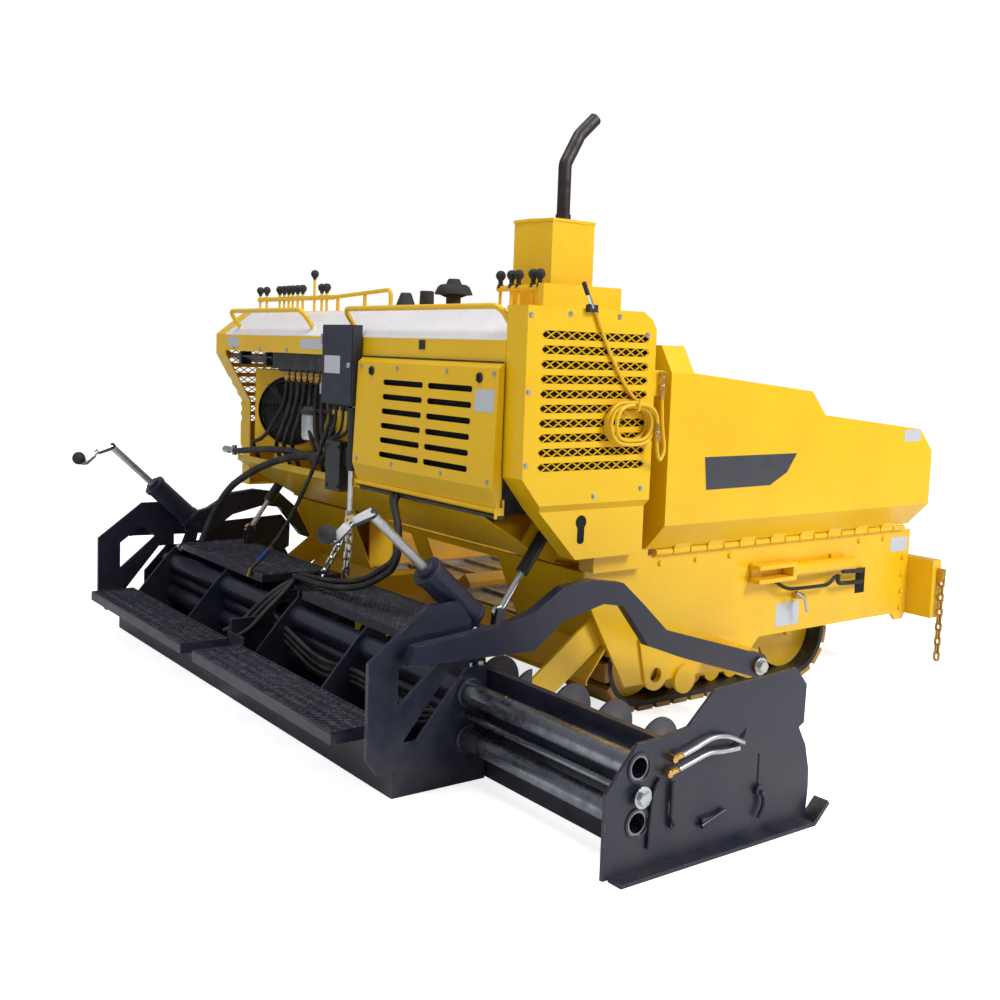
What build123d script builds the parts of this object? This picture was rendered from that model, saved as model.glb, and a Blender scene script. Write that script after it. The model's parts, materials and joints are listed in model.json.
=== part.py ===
from build123d import *
import os
from math import cos, degrees, radians, sin, tan

# Asphalt paver on tracks with an extending screed, in millimetres.
# +X is the right side of the machine, +Y points forward to the hopper, +Z is up.
# The model is laid out from the centre plane (x = 0), the rear end of the hopper
# hinge (y = 0) and the ground (z = 0), and is shifted once, when it is written,
# so that the origin lies on the ground below the middle of the whole machine.

os.makedirs("parts", exist_ok=True)

# Sheet and plate stock, and the clearances that mating pieces share
SHEET = 6
PLATE = 12
HEAVY_PLATE = 16
SEAT = 0.3
RUNNING_GAP = 8
PIN_CLEARANCE = 0.5

# Tractor body
BODY_HALF_WIDTH = 1154
FRAME_HALF_WIDTH = BODY_HALF_WIDTH - 514
HOPPER_LENGTH = 1710
HOPPER_TOP = 671
SKIRT_BOTTOM = 165
SIDE_BOTTOM = 275
SKIRT_FRONT = 560
SKIRT_RISE_END = 667
FLOOR_EDGE_HEIGHT = 470
CONVEYOR_FLOOR = 322
CONVEYOR_HALF_GAP = 45

# Tracks
TRACK_WIDTH = 300
TRACK_INNER = BODY_HALF_WIDTH - 134 - TRACK_WIDTH
TRACK_REAR_AXLE = 125
TRACK_FRONT_AXLE = 1090
TRACK_RADIUS = 210
SHOE_COUNT = 31
SHOE_HEIGHT = 20
BELT_THICKNESS = 22
SHOE_GAP = 21
ROLLER_RADIUS = 50
ROLLER_COUNT = 5

# Hopper wings
WING_REAR = -40
WING_FRONT = 1664
WING_CREASE_OUT = 113
WING_CREASE_HEIGHT = 808
WING_PLATE = 10
WING_TOP_REAR = 1384
WING_TOP_FRONT = 1154
WING_PEAK = 1487
HINGE_RADIUS = 13
HINGE_PIN_RADIUS = 6
HINGE_KNUCKLES = 17

# Hood
HOOD_REAR = -749
HOOD_FRONT = -54.3
HOOD_TOP = 1603
HOOD_HALF_WIDTH = BODY_HALF_WIDTH + 129
HOOD_SLOPE_END = -600
HOOD_EDGE_HEIGHT = 1487
HOOD_SKIRT_BOTTOM = 1405
SIDE_BOX_FRONT = -144
SIDE_BOX_DEPTH = 113
SIDE_BOX_BOTTOM = 711
SIDE_BOX_STEP = 26
SIDE_BOX_STEP_TOP = 917
MESH_ROWS = 10
MESH_ROW_PITCH = 50.6
MESH_ROW_HEIGHT = 29
MESH_ROW_LENGTH = 501
MESH_MIDDLE_Y = -430
MESH_TOP_ROW = 1506

# Rear door with louvre slots
DOOR_LEFT = 218
DOOR_RIGHT = HOOD_HALF_WIDTH - SIDE_BOX_DEPTH + 6
DOOR_TOP = 1405
DOOR_EDGE = 1385
DOOR_FOLD = 970
DOOR_BOTTOM = 897
DOOR_TOP_DEPTH = 22
DOOR_FOLD_DEPTH = 40
DOOR_FOOT_DEPTH = 12
DOOR_SLOT_ROWS = 6
DOOR_SLOT_PITCH = 57
DOOR_SLOT_HEIGHT = 22
DOOR_SLOT_LENGTH = 285
DOOR_SLOT_COLUMN = 318
DOOR_BACK_Y = HOOD_REAR - 6
DOOR_HINGE_Y = -770
DOOR_HINGE_Z = 891
DOOR_PIN_RADIUS = 5

# Screed: the main box lies on the ground, the extension slides in front of it
SCREED_HALF_WIDTH = BODY_HALF_WIDTH + 129
SCREED_REAR = -1243
SCREED_FRONT = -870
SCREED_BOX_HEIGHT = 100
END_PLATE = 12
SCREED_TOP = 420
EXTENSION_REAR = -860
EXTENSION_FRONT = -722
EXTENSION_HEIGHT = 372
EXTENSION_WALL = 12
GUIDE_Y = -950
UPPER_GUIDE_Z = 310
LOWER_GUIDE_Z = 152
RAM_Z = 231
SLIDE_TUBE_RADIUS = 37
SLIDE_FIT = 0.4
GUIDE_WALL = 8
SLIDE_TUBE_LENGTH = 1180
RAM_ROD_RADIUS = 14
RAM_BARREL_RADIUS = 27
GUIDE_INNER = 60
EXTENSION_LENGTH = 850
GATE_CLOSED_X = SCREED_HALF_WIDTH + 137
RIGHT_EXTENSION_OUT = 687
GATE_PLATE = 12
SKI_WIDTH = 54

# Walkway and steps
WALKWAY_REAR = -1415
WALKWAY_DEPTH = 208
WALKWAY_TOP = 213
WALKWAY_INNER = 60
WALKWAY_OUTER = SCREED_HALF_WIDTH - 87
GRATING_DEPTH = 36
STEP_REAR = -958
STEP_FRONT = -625
STEP_OUTER = SCREED_HALF_WIDTH - 93
STEP_THICKNESS = 28
CRANK_X = SCREED_HALF_WIDTH - 48
CRANK_BODY_RADIUS = 50
CRANK_BALL_RADIUS = 28

# Tow arms and their pins on the tractor
TOW_PIN_Y = 405
TOW_PIN_Z = 240
TOW_PIN_RADIUS = 25
ARM_INNER = SCREED_HALF_WIDTH + END_PLATE + HEAVY_PLATE + 29
ARM_THICKNESS = 40
ARM_EYE_RADIUS = 50

# Auger
AUGER_Y = -550
AUGER_Z = 152
AUGER_RADIUS = 142
AUGER_SHAFT_RADIUS = 32
AUGER_PITCH = 215
AUGER_FLIGHT = 10
AUGER_INNER = 70
HANGER_X = BODY_HALF_WIDTH - 50
AUGER_LEFT_LENGTH = HANGER_X + 26 - AUGER_INNER
AUGER_RIGHT_LENGTH = 1840

# Front beam and push rollers
BEAM_HALF_WIDTH = BODY_HALF_WIDTH + 130
BEAM_BACK = HOPPER_LENGTH + SEAT
BEAM_DEPTH = 66
BEAM_TOP = 540
BEAM_BOTTOM = 268
PUSH_ROLLER_RADIUS = 75
PUSH_ROLLER_LENGTH = 620
PUSH_ROLLER_X = 430
PUSH_ROLLER_Y = 1905
PUSH_ROLLER_Z = 400

# Screed lift: a black cylinder at each side, and a chain lift in the middle
PAN_HALF_WIDTH = BODY_HALF_WIDTH - 134
LIFT_X = PAN_HALF_WIDTH + 35
LIFT_TOP_Y = -440
LIFT_TOP_Z = 790
LIFT_FOOT_Y = -650
LIFT_FOOT_Z = 500
LIFT_BARREL_RADIUS = 24
LIFT_BARREL_END = 190
LIFT_ROD_RADIUS = 12
LIFT_PIN_RADIUS = 10
LIFT_EYE_BORE = 16
HOIST_X = 180
HOIST_Y = -775
HOIST_ROD_RADIUS = 14
HOOK_Z = 720

pieces = {}


def keep(name, shape):
    """Remember a finished piece under its node name."""
    shape.label = name
    pieces[name] = shape


def block(x0, x1, y0, y1, z0, z1):
    """Plain block between two corners."""
    with BuildPart() as solid:
        with Locations(((x0 + x1) / 2, (y0 + y1) / 2, (z0 + z1) / 2)):
            Box(x1 - x0, y1 - y0, z1 - z0)
    return solid.part


def both_sides(name, shape):
    """Keep the right piece and its mirror image on the left."""
    keep(name + "_right", shape)
    keep(name + "_left", mirror(shape, about=Plane.YZ))


# Main frame: two longitudinal plates that carry the conveyors, joined by cross plates
FRAME_REAR = -190
FRAME_FRONT = HOPPER_LENGTH - 20
FRAME_BOTTOM = 200
FRAME_TOP = 640
HOPPER_BACK_Y = WING_REAR - RUNNING_GAP
with BuildPart() as main_frame:
    for sign in (-1, 1):
        with BuildSketch(Plane.YZ.offset(sign * (FRAME_HALF_WIDTH - PLATE / 2) - PLATE / 2)):
            with BuildLine():
                Polyline(
                    (FRAME_REAR, FRAME_BOTTOM), (FRAME_FRONT - 120, FRAME_BOTTOM),
                    (FRAME_FRONT, FRAME_BOTTOM + 90), (FRAME_FRONT, FLOOR_EDGE_HEIGHT - SEAT),
                    (HOPPER_BACK_Y, FLOOR_EDGE_HEIGHT - SEAT), (HOPPER_BACK_Y, FRAME_TOP),
                    (FRAME_REAR, FRAME_TOP), close=True,
                )
            make_face()
        extrude(amount=PLATE)
    with Locations((0, (FRAME_REAR + FRAME_FRONT - 120) / 2, FRAME_BOTTOM + PLATE / 2)):
        Box(2 * FRAME_HALF_WIDTH, FRAME_FRONT - 120 - FRAME_REAR, PLATE)
    with Locations((0, (FRAME_REAR + HOPPER_BACK_Y) / 2, FRAME_TOP - PLATE / 2)):
        Box(2 * FRAME_HALF_WIDTH, HOPPER_BACK_Y - FRAME_REAR, PLATE)
keep("main_frame", main_frame.part)

# Hopper tub: sloped floors from the hinge line down to the conveyor troughs,
# the ridge that covers the inner chains, and the apron at the front
TUB_EDGE = BODY_HALF_WIDTH - PLATE - SEAT
TROUGH_EDGE = FRAME_HALF_WIDTH + SHEET
with BuildPart() as hopper_tub:
    with BuildSketch(Plane.XZ.offset(-(HOPPER_LENGTH - 4))):
        with BuildLine():
            Polyline(
                (-TUB_EDGE, HOPPER_TOP - 8), (-TUB_EDGE, HOPPER_TOP - 40),
                (-TROUGH_EDGE, FLOOR_EDGE_HEIGHT), (-TROUGH_EDGE + 30, FLOOR_EDGE_HEIGHT),
                (-TROUGH_EDGE + 30, CONVEYOR_FLOOR - SHEET),
                (TROUGH_EDGE - 30, CONVEYOR_FLOOR - SHEET),
                (TROUGH_EDGE - 30, FLOOR_EDGE_HEIGHT), (TROUGH_EDGE, FLOOR_EDGE_HEIGHT),
                (TUB_EDGE, HOPPER_TOP - 40), (TUB_EDGE, HOPPER_TOP - 8),
            )
            offset(amount=SHEET, side=Side.LEFT)
        make_face()
    extrude(amount=HOPPER_LENGTH - 4 - HOPPER_BACK_Y - SEAT)
    with BuildSketch(Plane.XZ.offset(-(HOPPER_LENGTH - 30))):
        with BuildLine():
            Polyline(
                (-TUB_EDGE, HOPPER_TOP - 8), (-TUB_EDGE, HOPPER_TOP - 40),
                (-TROUGH_EDGE, FLOOR_EDGE_HEIGHT), (-TROUGH_EDGE + 30, FLOOR_EDGE_HEIGHT),
                (-TROUGH_EDGE + 30, CONVEYOR_FLOOR - SHEET),
                (TROUGH_EDGE - 30, CONVEYOR_FLOOR - SHEET),
                (TROUGH_EDGE - 30, FLOOR_EDGE_HEIGHT), (TROUGH_EDGE, FLOOR_EDGE_HEIGHT),
                (TUB_EDGE, HOPPER_TOP - 40), (TUB_EDGE, HOPPER_TOP - 8), close=True,
            )
        make_face()
    extrude(amount=PLATE)
    RIDGE_LENGTH = HOPPER_LENGTH - 36 - HOPPER_BACK_Y - SEAT
    with BuildSketch(Plane.XZ.offset(-(HOPPER_LENGTH - 36))):
        with BuildLine():
            Polyline(
                (-CONVEYOR_HALF_GAP + 1, CONVEYOR_FLOOR - 2), (-CONVEYOR_HALF_GAP + 1, CONVEYOR_FLOOR + 44),
                (0, CONVEYOR_FLOOR + 78), (CONVEYOR_HALF_GAP - 1, CONVEYOR_FLOOR + 44),
                (CONVEYOR_HALF_GAP - 1, CONVEYOR_FLOOR - 2), close=True,
            )
        make_face()
    extrude(amount=RIDGE_LENGTH)
keep("hopper_tub", hopper_tub.part)

# Conveyors: one slat conveyor each side of the ridge, floor plate, chains and slats
CONVEYOR_REAR = FRAME_REAR + 8
CONVEYOR_FRONT = HOPPER_LENGTH - 60
CONVEYOR_OUTER = TROUGH_EDGE - 30 - SHEET - 6
SLAT_COUNT = 11
SLAT_HEIGHT = 16
CHAIN_WIDTH = 34
with BuildPart() as conveyor:
    CONVEYOR_MIDDLE_X = (CONVEYOR_HALF_GAP + CONVEYOR_OUTER) / 2
    CONVEYOR_WIDTH = CONVEYOR_OUTER - CONVEYOR_HALF_GAP
    CONVEYOR_RUN = CONVEYOR_FRONT - CONVEYOR_REAR
    CONVEYOR_MIDDLE_Y = (CONVEYOR_FRONT + CONVEYOR_REAR) / 2
    CONVEYOR_TOP = CONVEYOR_FLOOR + SEAT + SHEET
    with Locations((CONVEYOR_MIDDLE_X, CONVEYOR_MIDDLE_Y, CONVEYOR_FLOOR + SEAT + SHEET / 2)):
        Box(CONVEYOR_WIDTH, CONVEYOR_RUN, SHEET)
    with Locations((0, CONVEYOR_MIDDLE_Y, CONVEYOR_TOP + SLAT_HEIGHT / 2)):
        with Locations((CONVEYOR_HALF_GAP + CHAIN_WIDTH / 2, 0), (CONVEYOR_OUTER - CHAIN_WIDTH / 2, 0)):
            Box(CHAIN_WIDTH, CONVEYOR_RUN, SLAT_HEIGHT)
    with Locations((CONVEYOR_MIDDLE_X, CONVEYOR_MIDDLE_Y, CONVEYOR_TOP + SLAT_HEIGHT / 2)):
        with GridLocations(0, (CONVEYOR_RUN - 60) / (SLAT_COUNT - 1), 1, SLAT_COUNT):
            Box(CONVEYOR_WIDTH, 28, SLAT_HEIGHT)
both_sides("conveyor", conveyor.part)

# Back wall of the hopper, with the tunnel that the conveyors run through
BACK_EDGE = BODY_HALF_WIDTH - 74
with BuildPart() as hopper_back:
    with BuildSketch(Plane.XZ.offset(-HOPPER_BACK_Y)):
        with BuildLine():
            Polyline(
                (-BACK_EDGE, HOPPER_TOP + 30), (-BACK_EDGE, HOOD_TOP - 10), (BACK_EDGE, HOOD_TOP - 10),
                (BACK_EDGE, HOPPER_TOP + 30), (TUB_EDGE, HOPPER_TOP - 4), (TUB_EDGE, HOPPER_TOP - 40),
                (TROUGH_EDGE, FLOOR_EDGE_HEIGHT), (TROUGH_EDGE, FRAME_TOP + SEAT),
                (-TROUGH_EDGE, FRAME_TOP + SEAT), (-TROUGH_EDGE, FLOOR_EDGE_HEIGHT),
                (-TUB_EDGE, HOPPER_TOP - 40), (-TUB_EDGE, HOPPER_TOP - 4), close=True,
            )
        make_face()
    extrude(amount=SHEET)
keep("hopper_back", hopper_back.part)

# Side plates of the hopper, with the hinge knuckles along their top edge
HINGE_X = BODY_HALF_WIDTH + 8
HINGE_Z = HOPPER_TOP + HINGE_RADIUS + 1
SIDE_OUTLINE = [
    (-330, FRAME_TOP), (-330, 560), (-180, 300), (-100, SKIRT_BOTTOM), (SKIRT_FRONT, SKIRT_BOTTOM),
    (SKIRT_RISE_END, SIDE_BOTTOM), (1600, SIDE_BOTTOM), (1630, 242), (1690, 242),
    (HOPPER_LENGTH, SIDE_BOTTOM), (HOPPER_LENGTH, HOPPER_TOP), (-44, HOPPER_TOP), (-44, FRAME_TOP),
]
KNUCKLE_PITCH = (WING_FRONT - 40) / HINGE_KNUCKLES
KNUCKLE_LENGTH = KNUCKLE_PITCH - RUNNING_GAP
EYE_Y = 55
EYE_Z = 196
EYE_RADIUS = 62
EYE_BORE = 30
with BuildPart() as side_plate:
    with BuildSketch(Plane.YZ.offset(BODY_HALF_WIDTH - PLATE)):
        with BuildLine():
            Polyline(*SIDE_OUTLINE, close=True)
        make_face()
    extrude(amount=PLATE)
    for index in range(0, HINGE_KNUCKLES, 2):
        start = 20 + index * KNUCKLE_PITCH
        with BuildSketch(Plane.XZ.offset(-(start + KNUCKLE_LENGTH))):
            with Locations((HINGE_X, HINGE_Z)):
                Circle(HINGE_RADIUS)
            with Locations((BODY_HALF_WIDTH - 2, HOPPER_TOP + 2)):
                Rectangle(12, 16)
        extrude(amount=KNUCKLE_LENGTH)
    # one pin runs through all knuckles
    with BuildSketch(Plane.XZ.offset(-(20 + HINGE_KNUCKLES * KNUCKLE_PITCH))):
        with Locations((HINGE_X, HINGE_Z)):
            Circle(HINGE_PIN_RADIUS)
    extrude(amount=HINGE_KNUCKLES * KNUCKLE_PITCH)
    # boss and pin for the tow arm
    with BuildSketch(Plane.YZ.offset(BODY_HALF_WIDTH - 1)):
        with Locations((TOW_PIN_Y, TOW_PIN_Z)):
            Circle(60)
    extrude(amount=ARM_INNER - 0.5 - BODY_HALF_WIDTH + 1)
    with BuildSketch(Plane.YZ.offset(ARM_INNER - 2)):
        with Locations((TOW_PIN_Y, TOW_PIN_Z)):
            Circle(TOW_PIN_RADIUS)
    extrude(amount=ARM_THICKNESS + 14)
    # tie-down eye and round lug at the rear bottom corner
    with BuildSketch(Plane.YZ.offset(BODY_HALF_WIDTH - 1)):
        with Locations((EYE_Y, EYE_Z)):
            Circle(EYE_RADIUS)
        with BuildLine():
            Polyline(
                (EYE_Y - EYE_RADIUS + 6, EYE_Z - 26), (EYE_Y - 96, EYE_Z + 150), (EYE_Y - 40, EYE_Z + 166),
                (EYE_Y + EYE_RADIUS - 12, EYE_Z + 34), close=True,
            )
        make_face()
        with Locations((EYE_Y, EYE_Z)):
            Circle(EYE_BORE, mode=Mode.SUBTRACT)
        with Locations((EYE_Y + 166, EYE_Z - 40)):
            Circle(58)
    extrude(amount=PLATE + 1)
    with BuildSketch(Plane.YZ.offset(BODY_HALF_WIDTH - PLATE - 1)):
        with Locations((EYE_Y, EYE_Z)):
            Circle(EYE_BORE)
    extrude(amount=2 * PLATE + 2, mode=Mode.SUBTRACT)
    # sill that carries the side box of the hood
    with Locations((BODY_HALF_WIDTH + 6, (-330 + HOOD_FRONT) / 2, (FRAME_TOP + SIDE_BOX_BOTTOM) / 2 - SEAT)):
        Box(80, 330 + HOOD_FRONT, SIDE_BOX_BOTTOM - FRAME_TOP)
both_sides("side_plate", side_plate.part)

# Hopper wings: bent outer plate with a stepped top edge, rear and front ends, knuckles
WING_OUT = BODY_HALF_WIDTH + WING_CREASE_OUT
WING_FOOT = HINGE_Z + HINGE_RADIUS - 3
WING_LENGTH = WING_FRONT - WING_REAR
with BuildPart() as wing:
    with BuildSketch(Plane.XZ.offset(-WING_FRONT)):
        with BuildLine():
            Polyline(
                (HINGE_X, WING_FOOT), (WING_OUT, WING_CREASE_HEIGHT), (WING_OUT, WING_TOP_REAR),
                (WING_OUT - WING_PLATE, WING_TOP_REAR), (WING_OUT - WING_PLATE, WING_CREASE_HEIGHT + 4),
                (HINGE_X - 8, WING_FOOT), close=True,
            )
        make_face()
    extrude(amount=WING_LENGTH)
    with BuildSketch(Plane.YZ.offset(WING_OUT - 60)):
        with BuildLine():
            Polyline(
                (86, WING_TOP_REAR + 1), (786, WING_TOP_REAR - 63), (880, WING_TOP_FRONT + 68),
                (1568, WING_TOP_FRONT), (WING_FRONT + 1, WING_TOP_FRONT - 100),
                (WING_FRONT + 1, WING_TOP_REAR + 1), close=True,
            )
        make_face()
    extrude(amount=80, mode=Mode.SUBTRACT)
    with BuildSketch(Plane.XZ.offset(-(WING_REAR + WING_PLATE))):
        with BuildLine():
            Polyline(
                (BODY_HALF_WIDTH - 24, WING_CREASE_HEIGHT - 60), (HINGE_X - 8, WING_FOOT), (HINGE_X, WING_FOOT),
                (WING_OUT, WING_CREASE_HEIGHT), (WING_OUT, WING_TOP_REAR),
                (WING_OUT - 60, WING_PEAK), (BODY_HALF_WIDTH - 24, WING_PEAK), close=True,
            )
        make_face()
    extrude(amount=WING_PLATE)
    with BuildSketch(Plane.XZ.offset(-(WING_REAR + 120))):
        with BuildLine():
            Polyline(
                (WING_OUT, WING_TOP_REAR), (WING_OUT - 60, WING_PEAK), (WING_OUT - 70, WING_PEAK),
                (WING_OUT - WING_PLATE, WING_TOP_REAR - 8), (WING_OUT, WING_TOP_REAR - 8), close=True,
            )
        make_face()
    extrude(amount=120)
    with BuildSketch(Plane.XZ.offset(-WING_FRONT)):
        with BuildLine():
            Polyline(
                (HINGE_X - 8, WING_FOOT), (HINGE_X, WING_FOOT), (WING_OUT, WING_CREASE_HEIGHT),
                (WING_OUT, WING_TOP_FRONT - 100), (BODY_HALF_WIDTH, WING_TOP_FRONT - 160), close=True,
            )
        make_face()
    extrude(amount=WING_PLATE)
    # the plate's foot stays clear of the knuckles on the side plate
    with BuildSketch(Plane.XZ.offset(-(WING_FRONT + 1))):
        with Locations((HINGE_X, HINGE_Z)):
            Circle(HINGE_RADIUS + 5)
    extrude(amount=WING_LENGTH + 2, mode=Mode.SUBTRACT)
    for index in range(1, HINGE_KNUCKLES, 2):
        start = 20 + index * KNUCKLE_PITCH
        with BuildSketch(Plane.XZ.offset(-(start + KNUCKLE_LENGTH))):
            with Locations((HINGE_X, HINGE_Z)):
                Circle(HINGE_RADIUS)
            with BuildLine():
                Polyline(
                    (HINGE_X - 6, HINGE_Z + 4), (HINGE_X + 8, HINGE_Z + 4),
                    (HINGE_X + 19, HINGE_Z + 30), (HINGE_X + 12, HINGE_Z + 34), close=True,
                )
            make_face()
            with Locations((HINGE_X, HINGE_Z)):
                Circle(HINGE_PIN_RADIUS + PIN_CLEARANCE, mode=Mode.SUBTRACT)
        extrude(amount=KNUCKLE_LENGTH)
both_sides("wing", wing.part)

# Tracks: one closed belt each, with its shoes in the outline
TRACK_Z = TRACK_RADIUS
TRACK_MIDDLE_Y = (TRACK_REAR_AXLE + TRACK_FRONT_AXLE) / 2
TRACK_CENTRES = TRACK_FRONT_AXLE - TRACK_REAR_AXLE
BELT_OUTER = TRACK_RADIUS - SHOE_HEIGHT
BELT_INNER = BELT_OUTER - BELT_THICKNESS
LOOP_LENGTH = 2 * TRACK_CENTRES + 6.2832 * BELT_OUTER
SHOE_PITCH = LOOP_LENGTH / SHOE_COUNT
SHOE_START = (TRACK_CENTRES - 9 * SHOE_PITCH) / 2


def track_station(travel):
    """Place and heading of a point that far along the belt's outer line, as (y, z, degrees)."""
    bend = 3.1416 * BELT_OUTER
    if travel < TRACK_CENTRES:
        return TRACK_REAR_AXLE + travel, TRACK_Z - BELT_OUTER, 0
    travel -= TRACK_CENTRES
    if travel < bend:
        turn = degrees(travel / BELT_OUTER)
        return (TRACK_FRONT_AXLE + BELT_OUTER * sin(radians(turn)),
                TRACK_Z - BELT_OUTER * cos(radians(turn)), turn)
    travel -= bend
    if travel < TRACK_CENTRES:
        return TRACK_FRONT_AXLE - travel, TRACK_Z + BELT_OUTER, 180
    turn = 180 + degrees((travel - TRACK_CENTRES) / BELT_OUTER)
    return (TRACK_REAR_AXLE + BELT_OUTER * sin(radians(turn)),
            TRACK_Z - BELT_OUTER * cos(radians(turn)), turn)


with BuildPart() as track:
    with BuildSketch(Plane.YZ.offset(TRACK_INNER)):
        with Locations((TRACK_MIDDLE_Y, TRACK_Z)):
            SlotCenterToCenter(TRACK_CENTRES, 2 * BELT_OUTER)
        for number in range(SHOE_COUNT):
            y, z, heading = track_station(SHOE_START + number * SHOE_PITCH)
            down = radians(heading - 90)
            drop = SHOE_HEIGHT / 2 - 1
            with Locations(Location((y + drop * cos(down), z + drop * sin(down), 0), (0, 0, heading))):
                Rectangle(SHOE_PITCH - SHOE_GAP, SHOE_HEIGHT + 2)
        with Locations((TRACK_MIDDLE_Y, TRACK_Z)):
            SlotCenterToCenter(TRACK_CENTRES, 2 * BELT_INNER, mode=Mode.SUBTRACT)
    extrude(amount=TRACK_WIDTH)
both_sides("track", track.part)

# Track frames: a box beam between two cheeks, with the wheels and rollers on their shafts
CHEEK_INNER = TRACK_INNER + 60
CHEEK_OUTER = TRACK_INNER + TRACK_WIDTH - 60
CHEEK = 12
SHAFT_RADIUS = 22
WHEEL_RADIUS = BELT_INNER - SEAT
with BuildPart() as track_frame:
    for x in (CHEEK_INNER, CHEEK_OUTER - CHEEK):
        with BuildSketch(Plane.YZ.offset(x)):
            with Locations((TRACK_MIDDLE_Y, TRACK_Z)):
                Rectangle(TRACK_CENTRES + 90, 110)
        extrude(amount=CHEEK)
    with Locations(((CHEEK_INNER + CHEEK_OUTER) / 2, TRACK_MIDDLE_Y, TRACK_Z + 5)):
        Box(CHEEK_OUTER - CHEEK_INNER, TRACK_CENTRES - 2 * WHEEL_RADIUS - 30, 100)
    ROLLER_Z = TRACK_Z - WHEEL_RADIUS + ROLLER_RADIUS
    with BuildSketch(Plane.YZ.offset(CHEEK_INNER)):
        with Locations((TRACK_MIDDLE_Y, TRACK_Z - 90)):
            Rectangle(TRACK_CENTRES - 2 * WHEEL_RADIUS - 30, 90)
    extrude(amount=CHEEK)
    with BuildSketch(Plane.YZ.offset(CHEEK_OUTER - CHEEK)):
        with Locations((TRACK_MIDDLE_Y, TRACK_Z - 90)):
            Rectangle(TRACK_CENTRES - 2 * WHEEL_RADIUS - 30, 90)
    extrude(amount=CHEEK)
    # cross tubes that carry the track frame on the main frame
    with Locations((0, TRACK_MIDDLE_Y, TRACK_Z + 20)):
        with GridLocations(0, 380, 1, 2):
            with Locations(((FRAME_HALF_WIDTH + SEAT + CHEEK_INNER) / 2, 0)):
                Box(CHEEK_INNER - FRAME_HALF_WIDTH - SEAT, 90, 60)
    for y in (TRACK_REAR_AXLE, TRACK_FRONT_AXLE):
        with BuildSketch(Plane.YZ.offset(CHEEK_INNER + CHEEK + 4)):
            with Locations((y, TRACK_Z)):
                Circle(WHEEL_RADIUS)
        extrude(amount=CHEEK_OUTER - CHEEK_INNER - 2 * CHEEK - 8)
        with BuildSketch(Plane.YZ.offset(CHEEK_INNER - 20)):
            with Locations((y, TRACK_Z)):
                Circle(SHAFT_RADIUS)
        extrude(amount=CHEEK_OUTER - CHEEK_INNER + 40)
    ROLLER_RUN = TRACK_CENTRES - 2 * WHEEL_RADIUS - 2 * ROLLER_RADIUS - 40
    for number in range(ROLLER_COUNT):
        y = TRACK_MIDDLE_Y + ROLLER_RUN * (number / (ROLLER_COUNT - 1) - 0.5)
        with BuildSketch(Plane.YZ.offset(CHEEK_INNER + 1)):
            with Locations((y, ROLLER_Z)):
                Circle(ROLLER_RADIUS)
        extrude(amount=CHEEK_OUTER - CHEEK_INNER - 2)
both_sides("track_frame", track_frame.part)

# Front beam across the machine, open at the bottom, with its roller brackets
ROLLER_BRACKET = 14
with BuildPart() as front_beam:
    with Locations((0, BEAM_BACK + BEAM_DEPTH / 2, (BEAM_TOP + BEAM_BOTTOM) / 2)):
        Box(2 * BEAM_HALF_WIDTH, BEAM_DEPTH, BEAM_TOP - BEAM_BOTTOM)
    with Locations((0, BEAM_BACK + BEAM_DEPTH / 2, (BEAM_TOP + BEAM_BOTTOM) / 2 - SHEET)):
        Box(2 * (BEAM_HALF_WIDTH - SHEET), BEAM_DEPTH - 2 * SHEET, BEAM_TOP - BEAM_BOTTOM, mode=Mode.SUBTRACT)
    BRACKET_XS = [sign * (PUSH_ROLLER_X + end * (PUSH_ROLLER_LENGTH / 2 + RUNNING_GAP + ROLLER_BRACKET / 2))
                  for sign in (-1, 1) for end in (-1, 1)]
    for x in BRACKET_XS:
        with BuildSketch(Plane.YZ.offset(x - ROLLER_BRACKET / 2)):
            with BuildLine():
                Polyline(
                    (BEAM_BACK + BEAM_DEPTH - 1, PUSH_ROLLER_Z + 90), (PUSH_ROLLER_Y, PUSH_ROLLER_Z + 40),
                    (PUSH_ROLLER_Y + 38, PUSH_ROLLER_Z), (PUSH_ROLLER_Y, PUSH_ROLLER_Z - 40),
                    (BEAM_BACK + BEAM_DEPTH - 1, PUSH_ROLLER_Z - 90), close=True,
                )
            make_face()
            with Locations((PUSH_ROLLER_Y, PUSH_ROLLER_Z)):
                Circle(SHAFT_RADIUS + PIN_CLEARANCE, mode=Mode.SUBTRACT)
        extrude(amount=ROLLER_BRACKET)
keep("front_beam", front_beam.part)

# Push rollers: a thick tube on a stub shaft that turns in the brackets
for side, sign in (("left", -1), ("right", 1)):
    with BuildPart() as push_roller:
        with BuildSketch(Plane.YZ.offset(sign * PUSH_ROLLER_X - PUSH_ROLLER_LENGTH / 2)):
            with Locations((PUSH_ROLLER_Y, PUSH_ROLLER_Z)):
                Circle(PUSH_ROLLER_RADIUS)
        extrude(amount=PUSH_ROLLER_LENGTH)
        STUB = PUSH_ROLLER_LENGTH + 2 * (RUNNING_GAP + ROLLER_BRACKET)
        with BuildSketch(Plane.YZ.offset(sign * PUSH_ROLLER_X - STUB / 2)):
            with Locations((PUSH_ROLLER_Y, PUSH_ROLLER_Z)):
                Circle(SHAFT_RADIUS)
        extrude(amount=STUB)
    keep("push_roller_" + side, push_roller.part)

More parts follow.
